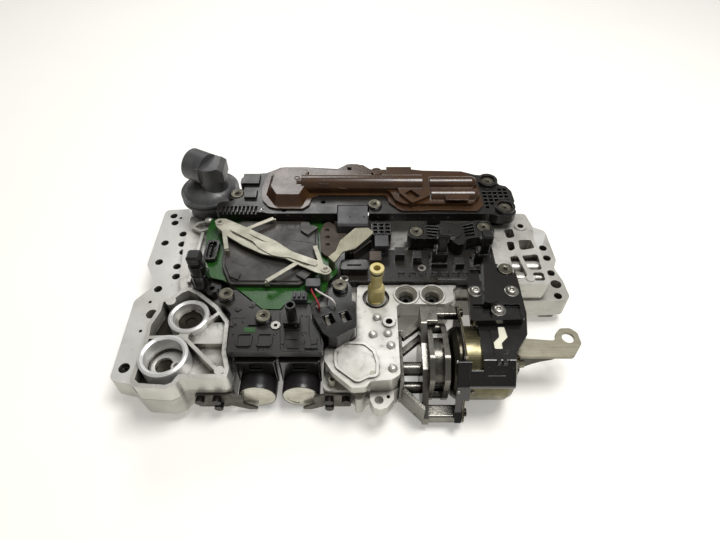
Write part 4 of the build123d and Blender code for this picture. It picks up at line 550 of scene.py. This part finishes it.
def new_piece(name, mesh, material):
    """A smooth-shaded object with one material."""
    piece = bpy.data.objects.new(name, mesh)
    bpy.context.scene.collection.objects.link(piece)
    mesh.materials.clear()
    mesh.materials.append(material)
    shade_smooth(mesh)
    return piece


def stands_for(piece, *replaced):
    """Lets a piece ride on the body of the solids that it replaces, and hides those solids."""
    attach(piece, body_of_node[replaced[0]])
    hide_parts(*replaced)
    return piece


# %% [markdown]
# The loose triangles of a solid are merged first, and flat faces become one polygon, because a bevel needs
# real neighbours. Weighted normals keep the flat faces flat next to the round edges. Where a face would
# fold, the whole piece gets a smaller rounding. The copy stands for the solid and rides on the same body.

# %% Rounded copies of the solids
EDGE_SEGMENTS = 2
FLAT = radians(1)
ROUNDING_SHARES = (1.0, 0.7, 0.45, 0.25)


def round_edges(piece, width):
    """Adds a bevel of one width and the normals that keep flat faces flat, and gives the bevel."""
    bevel = piece.modifiers.new("edges", "BEVEL")
    bevel.width = width
    bevel.segments = EDGE_SEGMENTS
    piece.modifiers.new("flat faces", "WEIGHTED_NORMAL")
    return bevel


def rounded(node, material, radius_mm):
    """A copy of one solid with rounded edges, which replaces it."""
    mesh = nodes[node].data.copy()
    shape = merged(mesh)
    bmesh.ops.dissolve_limit(shape, angle_limit=FLAT, verts=shape.verts, edges=shape.edges)
    shape.normal_update()
    shape.verts.index_update()
    weight = shape.edges.layers.float.new("bevel_weight_edge")
    for edge, width in edge_widths(shape, radius_mm * MM).items():
        edge[weight] = width / (radius_mm * MM)
    shape.to_mesh(mesh)
    shape.free()
    piece = new_piece(node + "_shown", mesh, material)
    bevel = round_edges(piece, radius_mm * MM)
    bevel.limit_method = "WEIGHT"
    bevel.use_clamp_overlap = False
    for share in ROUNDING_SHARES:
        bevel.width = radius_mm * MM * share
        if not is_folded(finished_mesh(piece)):
            break
        print(node, "would fold at a rounding of", round(radius_mm * share, 2), "mm")
    return stands_for(plain_mesh(piece), node)


def refinish(piece, material, wanted):
    """Gives another finish to the faces whose centre in millimetres and normal pass a test."""
    piece.data.materials.append(material)
    slot = len(piece.data.materials) - 1
    found = [face for face in piece.data.polygons if wanted(face.center / MM, face.normal)]
    for face in found:
        face.material_index = slot
    return len(found)


# %% [markdown]
# Screws repeat, so one head is turned from its profile, with a star socket pressed into the top, and a
# Geometry Nodes tree sets a copy at each place. Every copy is turned by chance about its own axis, because
# nobody lines up the sockets when tightening. Every tree here asks for named inputs, makes its copies real
# and gives them their finish, so the start, the end and the run of a tree are helpers.

# %% Trees and the one that sets copies
# The sockets of a Random Value node for plain numbers: the largest value and the result
NUMBER_MAX, NUMBER_OUT = 3, 1


def new_tree(name, asked):
    """A Geometry Nodes tree that asks for named inputs, and the sockets that give them."""
    tree = bpy.data.node_groups.new(name, "GeometryNodeTree")
    for label, kind in asked.items():
        tree.interface.new_socket(label, in_out="INPUT", socket_type="NodeSocket" + kind)
    tree.interface.new_socket("Result", in_out="OUTPUT", socket_type="NodeSocketGeometry")
    return tree, add(tree, "NodeGroupInput", {}).outputs


def end_tree(tree, shape, finish):
    """Ends a tree: its copies become real, take their finish and are the result."""
    real = add(tree, "GeometryNodeRealizeInstances", {}, [("Geometry", shape)])
    done = add(tree, "GeometryNodeSetMaterial", {},
               [("Geometry", real.outputs["Geometry"]), ("Material", finish)])
    add(tree, "NodeGroupOutput", {}, [("Result", done.outputs["Geometry"])])
    return tree


def run_tree(piece, tree, values):
    """Runs a tree on a piece with the values of its named inputs, and keeps the result as a plain mesh."""
    modifier = piece.modifiers.new("tree", "NODES")
    modifier.node_group = tree
    for item in tree.interface.items_tree:
        if item.in_out == "INPUT" and item.name in values:
            modifier[item.identifier] = values[item.name]
    return plain_mesh(piece)


def copies_tree():
    """Sets copies of a template on the vertices of a mesh, each turned by chance about its own axis."""
    tree, given = new_tree("copies_at_places", {"Places": "Geometry", "Template": "Object",
                                                "Largest Turn": "Float", "Seed": "Int", "Finish": "Material"})
    template = add(tree, "GeometryNodeObjectInfo", {}, [("Object", given["Template"])])
    chance = add(tree, "FunctionNodeRandomValue", {"data_type": "FLOAT"},
                 [(NUMBER_MAX, given["Largest Turn"]), ("Seed", given["Seed"])])
    turn = add(tree, "ShaderNodeCombineXYZ", {}, [("Z", chance.outputs[NUMBER_OUT])])
    placed = add(tree, "GeometryNodeInstanceOnPoints", {},
                 [("Points", given["Places"]), ("Instance", template.outputs["Geometry"]),
                  ("Rotation", turn.outputs["Vector"])])
    return end_tree(tree, placed.outputs["Instances"], given["Finish"])


COPIES = copies_tree()
print("tree for copies:", len(COPIES.nodes), "nodes")

# %% [markdown]
# A screw head is a turned shape, so its profile is a list of rings: a radius, a height and how deep the six
# points of the star cut in. The places are read from the separate solids of the screws.

# %% Turned heads and their seats
RING_STEPS = 48
STAR_POINTS = 6


def lathe(rings, steps=RING_STEPS):
    """A turned mesh from (radius, height, star share) rings in millimetres, closed at both ends."""
    shape = bmesh.new()
    loops = []
    for radius, height, star in rings:
        loop = []
        for step in range(steps):
            angle = 2 * pi * step / steps
            reach = radius * (1 + star * cos(STAR_POINTS * angle)) * MM
            loop.append(shape.verts.new((reach * cos(angle), reach * sin(angle), height * MM)))
        loops.append(loop)
    for low, high in zip(loops, loops[1:]):
        for step in range(steps):
            after = (step + 1) % steps
            shape.faces.new((low[step], low[after], high[after], high[step]))
    shape.faces.new(list(reversed(loops[0])))
    shape.faces.new(loops[-1])
    return mesh_of(shape, "turned")


def seats(node, head_height):
    """The seat centre of each separate screw of a node, which lies one head height under its top."""
    shape = merged(nodes[node].data)
    left = set(shape.verts)
    places = []
    while left:
        found = [left.pop()]
        for vert in found:
            for edge in vert.link_edges:
                other = edge.other_vert(vert)
                if other in left:
                    left.remove(other)
                    found.append(other)
        spots = np.array([vert.co for vert in found])
        middle = (spots.min(0) + spots.max(0)) / 2
        places.append((middle[0], middle[1], spots[:, 2].max() - head_height * MM))
    shape.free()
    return sorted(places)


def set_copies(name, template_mesh, places, material, seed):
    """One piece made of copies of a template at the given places."""
    template = new_piece("template", template_mesh, material)
    mesh = bpy.data.meshes.new(name)
    mesh.from_pydata(places, [], [])
    piece = new_piece(name, mesh, material)
    run_tree(piece, COPIES, {"Template": template, "Largest Turn": pi, "Seed": seed, "Finish": material})
    bpy.data.objects.remove(template)
    return piece


# %% The screws and the sleeves under their heads
FLANGE_HEAD_H = 5.0
PAN_HEAD_H = 3.4
FLANGE_HEAD = [(2.9, -16, 0), (2.9, 0, 0), (6.0, 0, 0), (6.0, 3.3, 0), (6.45, 3.4, 0), (6.5, 4.6, 0),
               (6.4, 4.85, 0), (6.1, 4.98, 0), (5.8, FLANGE_HEAD_H, 0), (2.1, FLANGE_HEAD_H, 0),
               (1.85, 4.85, 0.05), (1.7, 4.5, 0.12), (1.65, 2.4, 0.12), (0.8, 2.2, 0.05)]
SLEEVE = [(6.0, 0.2, 0), (6.8, 0.4, 0), (6.85, 3.0, 0), (6.6, 3.3, 0), (6.0, 3.35, 0)]
PAN_HEAD = [(1.9, -6, 0), (1.9, 0, 0), (6.05, 0, 0), (6.15, 0.1, 0), (6.15, 0.7, 0), (5.95, 0.9, 0),
            (4.75, 0.9, 0), (4.7, 1.5, 0), (4.3, 2.5, 0), (3.4, 3.15, 0), (2.5, 3.38, 0),
            (2.1, PAN_HEAD_H, 0), (1.75, 3.2, 0.12), (1.7, 1.6, 0.12), (0.8, 1.4, 0.05)]

flange_seats = seats("flange_screws", FLANGE_HEAD_H)
screws = set_copies("flange_screws_shown", lathe(FLANGE_HEAD), flange_seats, screw_steel, seed=4)
stands_for(screws, "flange_screws")
pans = set_copies("pan_screws_shown", lathe(PAN_HEAD), seats("pan_screws", PAN_HEAD_H), bright_steel, seed=9)
stands_for(pans, "pan_screws")
sleeves = set_copies("screw_sleeves_shown", lathe(SLEEVE), flange_seats, housing_nylon, seed=4)
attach(sleeves, body_of_node["flange_screws"])
print("screw faces:", len(screws.data.polygons), "pan screw faces:", len(pans.data.polygons))

# %% [markdown]
# The other solids get a rounding that suits their process: 0.3 to 0.6 mm on mouldings, cans and turned
# pieces, up to 0.7 mm on castings, 0.9 mm on the broad brown cover, and 0.15 to 0.3 mm on stamped steel
# and small trim.

# %% Rounding and finish of every solid
FINISHES = {
    "small_screws": (clip_steel, 0.3), "lower_valve_body": (cast_right, 0.7),
    "upper_valve_body": (cast_main, 0.6), "seam_flange": (cast_actuator, 0.4),
    "gear_cover": (cast_actuator, 0.5), "actuator_bracket": (cast_actuator, 0.6),
    "clamp_spring": (spring_steel, 0.25), "clamp_strap": (strap_steel, 0.25),
    "clamp_rivets": (spring_steel, 0.2), "selector_lever": (lever_steel, 0.4),
    "output_rod": (lever_steel, 0.4), "solenoid_brackets": (bracket_steel, 0.3),
    "solenoid_heads": (housing_nylon, 0.6), "solenoid_cans": (can_black, 0.5),
    "solenoid_discs": (disc_steel, 0.15), "front_module": (black_nylon, 0.5),
    "clip_block": (tower_nylon, 0.4), "relay_module": (housing_nylon, 0.5),
    "electronics_tray": (contact_nylon, 0.4), "left_frame": (tower_nylon, 0.4),
    "board_socket": (tower_nylon, 0.3), "ribbed_bracket": (tower_nylon, 0.5),
    "tower_sensors": (tower_nylon, 0.4), "rear_carrier": (black_nylon, 0.5),
    "connector_body": (connector_nylon, 0.6), "saddle_bracket": (saddle_nylon, 0.6),
    "actuator_housing": (housing_nylon, 0.6), "terminal_blocks": (contact_nylon, 0.3),
    "lattice_insert": (tower_nylon, 0.3), "control_unit_cover": (cover_plastic, 0.6),
    "component_blocks": (grey_plastic, 0.4), "grey_plugs": (grey_plastic, 0.3),
    "brown_cover": (brown_shell, 0.9), "brown_insulators": (brown_insulation, 0.3),
    "bus_bar": (bus_cream, 0.2), "oil_pipe": (pipe_plastic, 0.3), "actuator_can": (can_plate, 0.5),
    "front_drum": (drum_plate, 0.5), "actuator_bush": (bush_brass, 0.4),
}
copies = {node: rounded(node, material, radius) for node, (material, radius) in FINISHES.items()}
shown = [piece for piece in bpy.data.objects if piece.name.endswith("_shown")]
print("rounded copies:", len(FINISHES), "faces:", sum(len(piece.data.polygons) for piece in shown))

# %% [markdown]
# Some faces of a piece were cut after casting, or lie where the oil stands, so they get a finish of their
# own, and some of these finishes carry painted light and painted shade too. A face is found by where its
# centre lies, such as within a collar's radius, and by the way it looks.

# %% Machined faces, oily floors, painted light and painted shade
# In millimetres. The radius of a bore lies a little inside its wall, and that of a collar or rim a little
# outside its edge, so that rounded edges count as part of the machined face
FRONT_BORE_R, FRONT_COLLAR_R = 15.2, 20.4
REAR_BORE_R, REAR_COLLAR_R = 13.0, 17.9
CONE_BORE_R, CONE_RIM_R = 6.2, 10.6
COLLAR_LOW = 9.5
FLOOR_TOP = 18
CONE_LOW = 5
CONE_FLOOR_TOP = 12
LEVER_LIP = 3.4
LEVER_WEB_END = 150


def ring_test(centre, inner, outer, low, high=99):
    """A test for faces between two radii about an upright axis and between two heights, in millimetres."""
    axis = Vector(centre[:2])
    return lambda spot, normal: inner < (spot.xy - axis).length < outer and low < spot.z < high


def floor_test(centre, outer, high):
    """A test for faces inside a bore, from its axis to its wall and below a height, in millimetres."""
    return ring_test(centre, -1, outer, -40, high)


upper = copies["upper_valve_body"]
# The collars take a whiter turned finish, which is partly a painted highlight
cut = refinish(upper, front_collar_with_painted_highlight, ring_test(RING_AT, FRONT_BORE_R, FRONT_COLLAR_R, COLLAR_LOW))
cut += refinish(upper, rear_collar_with_painted_highlight, ring_test(REAR_BORE_AT, REAR_BORE_R, REAR_COLLAR_R, COLLAR_LOW))
# The floors of the two bores are painted dark, as oil and as shade in the recess
cut += refinish(upper, oil_and_painted_shade_floor, floor_test(RING_AT, FRONT_BORE_R, FLOOR_TOP))
cut += refinish(upper, oil_and_painted_shade_floor, floor_test(REAR_BORE_AT, REAR_BORE_R, FLOOR_TOP))
# Each cone wall is painted greyer as shade, and its floor dark as oil and painted shade
for place, metal in zip(CONE_PORTS_AT, cone_metals_painted_shade):
    cut += refinish(upper, metal, ring_test(place, CONE_BORE_R, CONE_RIM_R, CONE_LOW))
    cut += refinish(upper, oil_and_painted_shade_floor, floor_test(place, CONE_BORE_R, CONE_FLOOR_TOP))
# The paler joint face on top of the lower body is partly painted light
cut += refinish(copies["lower_valve_body"], joint_face_with_painted_light,
                lambda spot, normal: normal.z > 0.9 and abs(spot.z) < 0.6 and spot.x < 0)
# The web under the lever's lip is painted dark as shade
lever_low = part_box("selector_lever")[1][2] / MM - LEVER_LIP
cut += refinish(copies["selector_lever"], lever_web_painted_shade,
                lambda spot, normal: spot.z < lever_low and spot.x < LEVER_WEB_END)
cut += refinish(copies["clamp_rivets"], oil_and_painted_shade_floor, lambda spot, normal: normal.z > 0.95)
print("faces with a finish of their own:", cut)

# %% [markdown]
# The mouldings carry many small things that are too fine for the solids: lids, studs, seam beads and drops
# of glossy resin. Each is given by where the photograph shows it, in picture points. A ray from the camera
# through that point finds the surface that carries it, so it sits on the object from every side.

# %% The surface behind a picture point
STILL_BODY = body_of_node["upper_valve_body"]
corners_met, faces_met = [], []
for node in bodies[STILL_BODY]:
    mesh = nodes[node].data
    first_corner = len(corners_met)
    corners_met += [vert.co.copy() for vert in mesh.vertices]
    faces_met += [[first_corner + i for i in face.vertices] for face in mesh.polygons]
solid_skin = BVHTree.FromPolygons(corners_met, faces_met)
across, up, back = (Vector(axis) for axis in camera.rotation_euler.to_matrix().col)


def sight(x, y):
    """The direction from the camera through a picture point."""
    return (across * (x - PICTURE[0] / 2) - up * (y - PICTURE[1] / 2) - back * FOCAL_PX).normalized()


def seen_at(spots):
    """The points of the object behind picture points, in metres."""
    return [solid_skin.ray_cast(CAMERA_AT, sight(x, y))[0] for x, y in spots]


def level_at(spots):
    """The points behind picture points on the level plane at the middle one of their heights."""
    heights = sorted(spot.z for spot in seen_at(spots))
    level = heights[len(heights) // 2]
    ways = [sight(x, y) for x, y in spots]
    return [CAMERA_AT + way * ((level - CAMERA_AT.z) / way.z) for way in ways]


def rides_still(piece):
    """Lets an added detail ride on the body of the valve bodies."""
    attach(piece, STILL_BODY)
    return piece


print("triangles that a ray can meet:", len(faces_met))

# %% [markdown]
# Lids and labels without print are thin plates. Each outline is laid flat at the middle one of the
# heights behind its points, given a thickness, and rounded by a small bevel. They are single shapes with
# nothing to repeat, so plain mesh code does it. The pressed channel of the clamp spring is made the same
# way.

# %% Thin plates
PLATE_SUNK = 0.3 * MM
PLATE_EDGE = 0.25 * MM


def plates(name, outlines, height_mm, material):
    """Flat plates that stand proud of the surface behind their picture outlines."""
    shape = bmesh.new()
    for outline in outlines:
        spots = level_at(outline)
        low = [shape.verts.new((spot.x, spot.y, spot.z - PLATE_SUNK)) for spot in spots]
        high = [shape.verts.new((spot.x, spot.y, spot.z + height_mm * MM)) for spot in spots]
        shape.faces.new(low)
        shape.faces.new(high)
        for i in range(len(low)):
            j = (i + 1) % len(low)
            shape.faces.new((low[i], low[j], high[j], high[i]))
    bmesh.ops.recalc_face_normals(shape, faces=shape.faces)
    piece = new_piece(name, mesh_of(shape, name), material)
    round_edges(piece, PLATE_EDGE)
    return rides_still(plain_mesh(piece))


COVER_LIDS = [
    [(301.1, 224.4), (303, 223.1), (309.3, 224), (310.5, 226.9), (314.3, 226.9), (318.3, 229),
     (308, 236.5), (300.8, 231.9)],
    [(296, 276), (303, 271), (311, 275), (305, 281)],
    [(228, 272.5), (235, 271), (241, 275), (238, 281), (230, 278)],
]
MODULE_LIDS = [
    [(286, 333), (288, 331), (298, 331), (300, 333), (300, 340), (286, 340)],
    [(286, 340.6), (300, 340.6), (299, 348.6), (287, 348.6)],
    [(310, 338), (316, 338), (317, 344), (311, 345)],
]
BROWN_TAB = [(445, 195.4), (469, 195.4), (469, 200.6), (446, 200.6)]
MODULE_WINDOW = [(243.6, 327.6), (255.4, 327.6), (255.4, 332.4), (243.6, 332.4)]
cover_lids = plates("cover_lids_shown", COVER_LIDS, 2.4, cover_plastic)
module_lids = plates("module_lids_shown", MODULE_LIDS, 0.9, contact_nylon)
tab = plates("brown_tab_shown", [BROWN_TAB], 1.0, brown_shell)
window = plates("module_window_shown", [MODULE_WINDOW], 0.3, board_mask)
print("plate faces:", [len(piece.data.polygons) for piece in (cover_lids, module_lids, tab, window)])

# %% The pressed channel of the clamp spring
CHANNEL = [(230.5, 228.6), (233, 228.2), (247, 233), (252, 236.4), (256, 240), (262, 241.6), (269, 243),
           (277, 245.4), (285, 249), (295, 254), (306, 258), (316, 262.2), (317.6, 264.6), (315, 266.6),
           (302, 262.4), (289, 258), (280, 257.4), (273, 256), (264, 251.6), (258, 248), (253, 242),
           (241, 236), (230, 230.6)]
channel = plates("clamp_channel_shown", [CHANNEL], 0.9, spring_steel)
print("channel faces:", len(channel.data.polygons))

# %% [markdown]
# The beads where two mouldings meet follow a line over the surface. A Geometry Nodes tree turns the line's
# edges into a curve and sweeps a small circle along it.

# %% Beads swept along a line
def beads_tree():
    """Sweeps a round bead along the edges of a mesh."""
    tree, given = new_tree("bead_along_a_line", {"Line": "Geometry", "Bead Radius": "Float",
                                                 "Finish": "Material"})
    curve = add(tree, "GeometryNodeMeshToCurve", {}, [("Mesh", given["Line"])])
    circle = add(tree, "GeometryNodeCurvePrimitiveCircle", {"Resolution": 8},
                 [("Radius", given["Bead Radius"])])
    swept = add(tree, "GeometryNodeCurveToMesh", {"Fill Caps": True},
                [("Curve", curve.outputs["Curve"]), ("Profile Curve", circle.outputs["Curve"])])
    return end_tree(tree, swept.outputs["Mesh"], given["Finish"])


def beads(name, lines, radius_mm, material):
    """Round beads along picture lines, half sunk. A line that ends where it starts is a loop."""
    points, edges = [], []
    for line in lines:
        is_loop = line[0] == line[-1]
        start = len(points)
        points += seen_at(line[:-1] if is_loop else line)
        edges += [(i, i + 1) for i in range(start, len(points) - 1)]
        if is_loop:
            edges.append((len(points) - 1, start))
    mesh = bpy.data.meshes.new(name)
    mesh.from_pydata(points, edges, [])
    piece = run_tree(new_piece(name, mesh, material), BEADS,
                     {"Bead Radius": radius_mm * MM, "Finish": material})
    shape = bmesh.new()
    shape.from_mesh(piece.data)
    bmesh.ops.recalc_face_normals(shape, faces=shape.faces)
    shape.to_mesh(piece.data)
    shape.free()
    shade_smooth(piece.data)
    return rides_still(piece)


def picture_circle(x, y, reach, squash=0.8, steps=14):
    """A closed round line in the picture, flattened as a circle on a level surface looks."""
    turns = [2 * pi * i / steps for i in range(steps)]
    line = [(x + reach * cos(turn), y + squash * reach * sin(turn)) for turn in turns]
    return line + line[:1]


BEADS = beads_tree()
print("tree for beads:", len(BEADS.nodes), "nodes")

# %% Where the beads run
MODULE_SEAMS = [
    [(280, 313), (280, 332), (280.5, 350)], [(309, 315), (309, 350)], [(282, 351), (307, 351)],
    [(232, 318), (246, 318)], [(227, 340), (231, 352)], [(262, 318.5), (272, 322), (277, 330)],
    [(312, 320), (320, 330), (321, 345)], picture_circle(238.1, 310, 2.6), picture_circle(233.8, 325, 2.4),
    picture_circle(275, 334, 2), picture_circle(304, 334, 2.2), picture_circle(304, 343, 1.8),
]
COVER_SEAMS = [
    picture_circle(291.2, 226.3, 4.6), [(281, 232), (283, 224)], [(252, 268), (262, 262), (270, 268)],
    [(291, 240), (312, 243)], [(224, 258), (236, 261)], [(232, 262), (246, 266)],
]
HOUSING_SEAMS = [[(470, 380), (470, 366)], picture_circle(508, 352, 2.2), [(484, 376), (506, 376)]]
BROWN_MARKS = [[(319.5, 184), (329.5, 184.4)], [(339, 188.2), (345.5, 188.5)],
               picture_circle(376.8, 172, 4.4, 0.7), picture_circle(297, 178, 2.4, 0.7)]
CARRIER_CLIP = [(259.5, 212.4), (261.5, 208.4), (264, 208), (263, 210.6), (266.4, 212.8)]
lines = [
    beads("module_seams_shown", MODULE_SEAMS, 0.3, housing_nylon),
    beads("cover_seams_shown", COVER_SEAMS, 0.22, cover_plastic),
    beads("housing_seams_shown", HOUSING_SEAMS, 0.28, housing_nylon),
    beads("brown_marks_shown", BROWN_MARKS, 0.5, brown_shell),
    beads("carrier_clip_shown", [CARRIER_CLIP], 0.45, bright_steel),
]
print("bead faces:", [len(piece.data.polygons) for piece in lines])

# %% [markdown]
# Studs and drops of resin sit in dozens on the black mouldings and catch the lamp as bright points. The
# tree for the screws sets them too, here with a small dome as its template.

# %% Studs and resin drops
DOME_STEPS = 12
DOME = [(1.0, -0.4, 0), (1.0, 0.1, 0), (0.95, 0.35, 0), (0.75, 0.62, 0), (0.4, 0.8, 0), (0.1, 0.85, 0)]


def domes(name, spots, radius_mm, material):
    """Small domes on the surface behind picture points."""
    places = [tuple(spot) for spot in seen_at(spots)]
    template = lathe([(radius_mm * r, radius_mm * z, star) for r, z, star in DOME], DOME_STEPS)
    return rides_still(set_copies(name, template, places, material, seed=2))


MODULE_STUDS = [(252.5, 304.6), (238.8, 334.6), (233, 334), (302, 316), (306.4, 316.4), (321.9, 323.4),
                (282.6, 344), (275.4, 326.4), (243, 322), (258, 349.6), (264, 349.8), (236, 349),
                (312, 348), (318, 349), (296, 326)]
TRAY_STUDS = [(404 + 9 * i, 262 + 0.6 * (i % 3)) for i in range(8)]
TRAY_STUDS += [(410 + 12 * i, 276) for i in range(6)]
HOUSING_STUDS = [(483, 384), (493, 382.4), (481, 373), (495, 373), (503, 372), (513, 368), (484, 352),
                 (505, 354), (478, 344), (476, 366), (489, 367), (509, 360)]
CARRIER_STUDS = [(275 + 13 * i, 215.5 + 0.3 * i) for i in range(4)]
CARRIER_STUDS += [(350 + 14 * i, 217) for i in range(8)]
GUARD_CLIPS = [(458, 362), (458.6, 392), (472.5, 391.6)]
drops = [
    domes("module_studs_shown", MODULE_STUDS, 0.9, housing_nylon),
    domes("tray_studs_shown", TRAY_STUDS, 0.8, housing_nylon),
    domes("housing_studs_shown", HOUSING_STUDS, 0.55, housing_nylon),
    domes("carrier_studs_shown", CARRIER_STUDS, 0.8, housing_nylon),
    domes("guard_clips_shown", GUARD_CLIPS, 1.5, bright_steel),
]
print("dome faces:", [len(piece.data.polygons) for piece in drops])

# %% [markdown]
# The solids that need no rounding keep their own mesh and only get a finish.

# %% Finishes on the remaining solids
KEPT = {
    ring_metal: ["port_ring"],
    spring_steel: ["separator_plate", "bore_plugs", "front_spool", "rear_spool"],
    # The accumulator piston at the foot of its bore is painted dark, as oil and as shade
    oil_and_painted_shade_floor: ["accumulator_piston"],
    bright_steel: ["retaining_ring", "contact_springs", "eyelets"],
    bracket_steel: ["accumulator_spring", "front_spool_spring", "rear_spool_spring"],
    seal_rubber: ["pipe_seal", "connector_seal"],
    board_mask: ["circuit_board"],
    bush_brass: ["connector_pins"],
    tower_nylon: ["check_valve_cups"],
    red_insulation: ["red_wire"],
    white_insulation: ["white_wire"],
}
for material, names in KEPT.items():
    for name in names:
        nodes[name].data.materials.clear()
        nodes[name].data.materials.append(material)
print("kept solids:", sum(len(names) for names in KEPT.values()))

# %% [markdown]
# The bench is a sheet of white laminate, and the room behind it is white too. The floor's own colour makes
# it pale. A small glow lifts it to the paper white of the photograph where it is seen, and lights nothing,
# so the object's soft shadow stays.

# %% The bench
FLOOR_SIZE = 6.0


def bench_material():
    """White laminate with a glow for what is seen directly, mirrored or through glass."""
    material, tree, shader, place = new_material("white_laminate_bench")
    cloud = add(tree, "ShaderNodeTexNoise", {"Scale": 1 / (120 * MM)}, [("Vector", place)])
    tone = add(tree, "ShaderNodeMix",
               {"data_type": "RGBA", COLOUR_A: linear("#f1efe8"), COLOUR_B: linear("#f6f4ee")},
               [(0, cloud.outputs["Fac"])])
    dress(tree, shader, {"Base Color": tone.outputs[COLOUR_OUT]}, {"Roughness": 0.6})
    ray = add(tree, "ShaderNodeLightPath", {})
    seen = add(tree, "ShaderNodeMath", {"operation": "MAXIMUM"},
               [(0, ray.outputs["Is Camera Ray"]), (1, ray.outputs["Is Glossy Ray"])])
    lit = add(tree, "ShaderNodeMath", {"operation": "MAXIMUM"},
              [(0, seen.outputs["Value"]), (1, ray.outputs["Is Transmission Ray"])])
    glow = add(tree, "ShaderNodeEmission", {"Color": linear("#fffdf8"), "Strength": 0.3})
    both = add(tree, "ShaderNodeAddShader", {}, [(0, shader.outputs["BSDF"]), (1, glow.outputs["Emission"])])
    surface = add(tree, "ShaderNodeMixShader", {},
                  [(0, lit.outputs["Value"]), (1, shader.outputs["BSDF"]), (2, both.outputs["Shader"])])
    tree.links.new(surface.outputs["Shader"], tree.nodes["Material Output"].inputs["Surface"])
    return material


floor_mesh = bpy.data.meshes.new("bench")
half = FLOOR_SIZE / 2
floor_z = cad_box[0][2]
floor_corners = [(x * half, y * half, floor_z) for x, y in ((-1, -1), (1, -1), (1, 1), (-1, 1))]
floor_mesh.from_pydata(floor_corners, [], [(0, 1, 2, 3)])
floor = bpy.data.objects.new("bench", floor_mesh)
bpy.context.scene.collection.objects.link(floor)
floor_mesh.materials.append(bench_material())
print("bench at a height in mm of", round(floor_z / MM, 1))

# %% [markdown]
# One wide lamp stands over the bench a little to the right, as the faint shadows on the left of the object
# show, and a weaker one behind it draws the highlights along the far edges. The room adds a little light
# from all sides.

# %% Lamps and room
LAMP_AIM = (-0.02, 0.1, 0.0)


def soft_lamp(name, place, size, power):
    """A square area lamp that points at the middle of the object."""
    data = bpy.data.lights.new(name, "AREA")
    data.size = size
    data.energy = power
    lamp = bpy.data.objects.new(name, data)
    lamp.location = place
    lamp.rotation_euler = (Vector(LAMP_AIM) - Vector(place)).to_track_quat("-Z", "Y").to_euler()
    bpy.context.scene.collection.objects.link(lamp)
    return lamp


lamps = [soft_lamp("overhead_panel", (0.3, 0.2, 1.25), size=0.5, power=11.8),
         soft_lamp("rear_panel", (-0.25, 1.15, 0.95), size=0.45, power=3.8)]

world = bpy.data.worlds.new("white_room")
world.use_nodes = True
room = world.node_tree.nodes["Background"]
room.inputs["Color"].default_value = linear("#fbfaf7")
room.inputs["Strength"].default_value = 0.24
bpy.context.scene.world = world
bpy.context.scene.view_settings.view_transform = "Standard"
print("lamps in watts:", [round(lamp.data.energy, 1) for lamp in lamps])
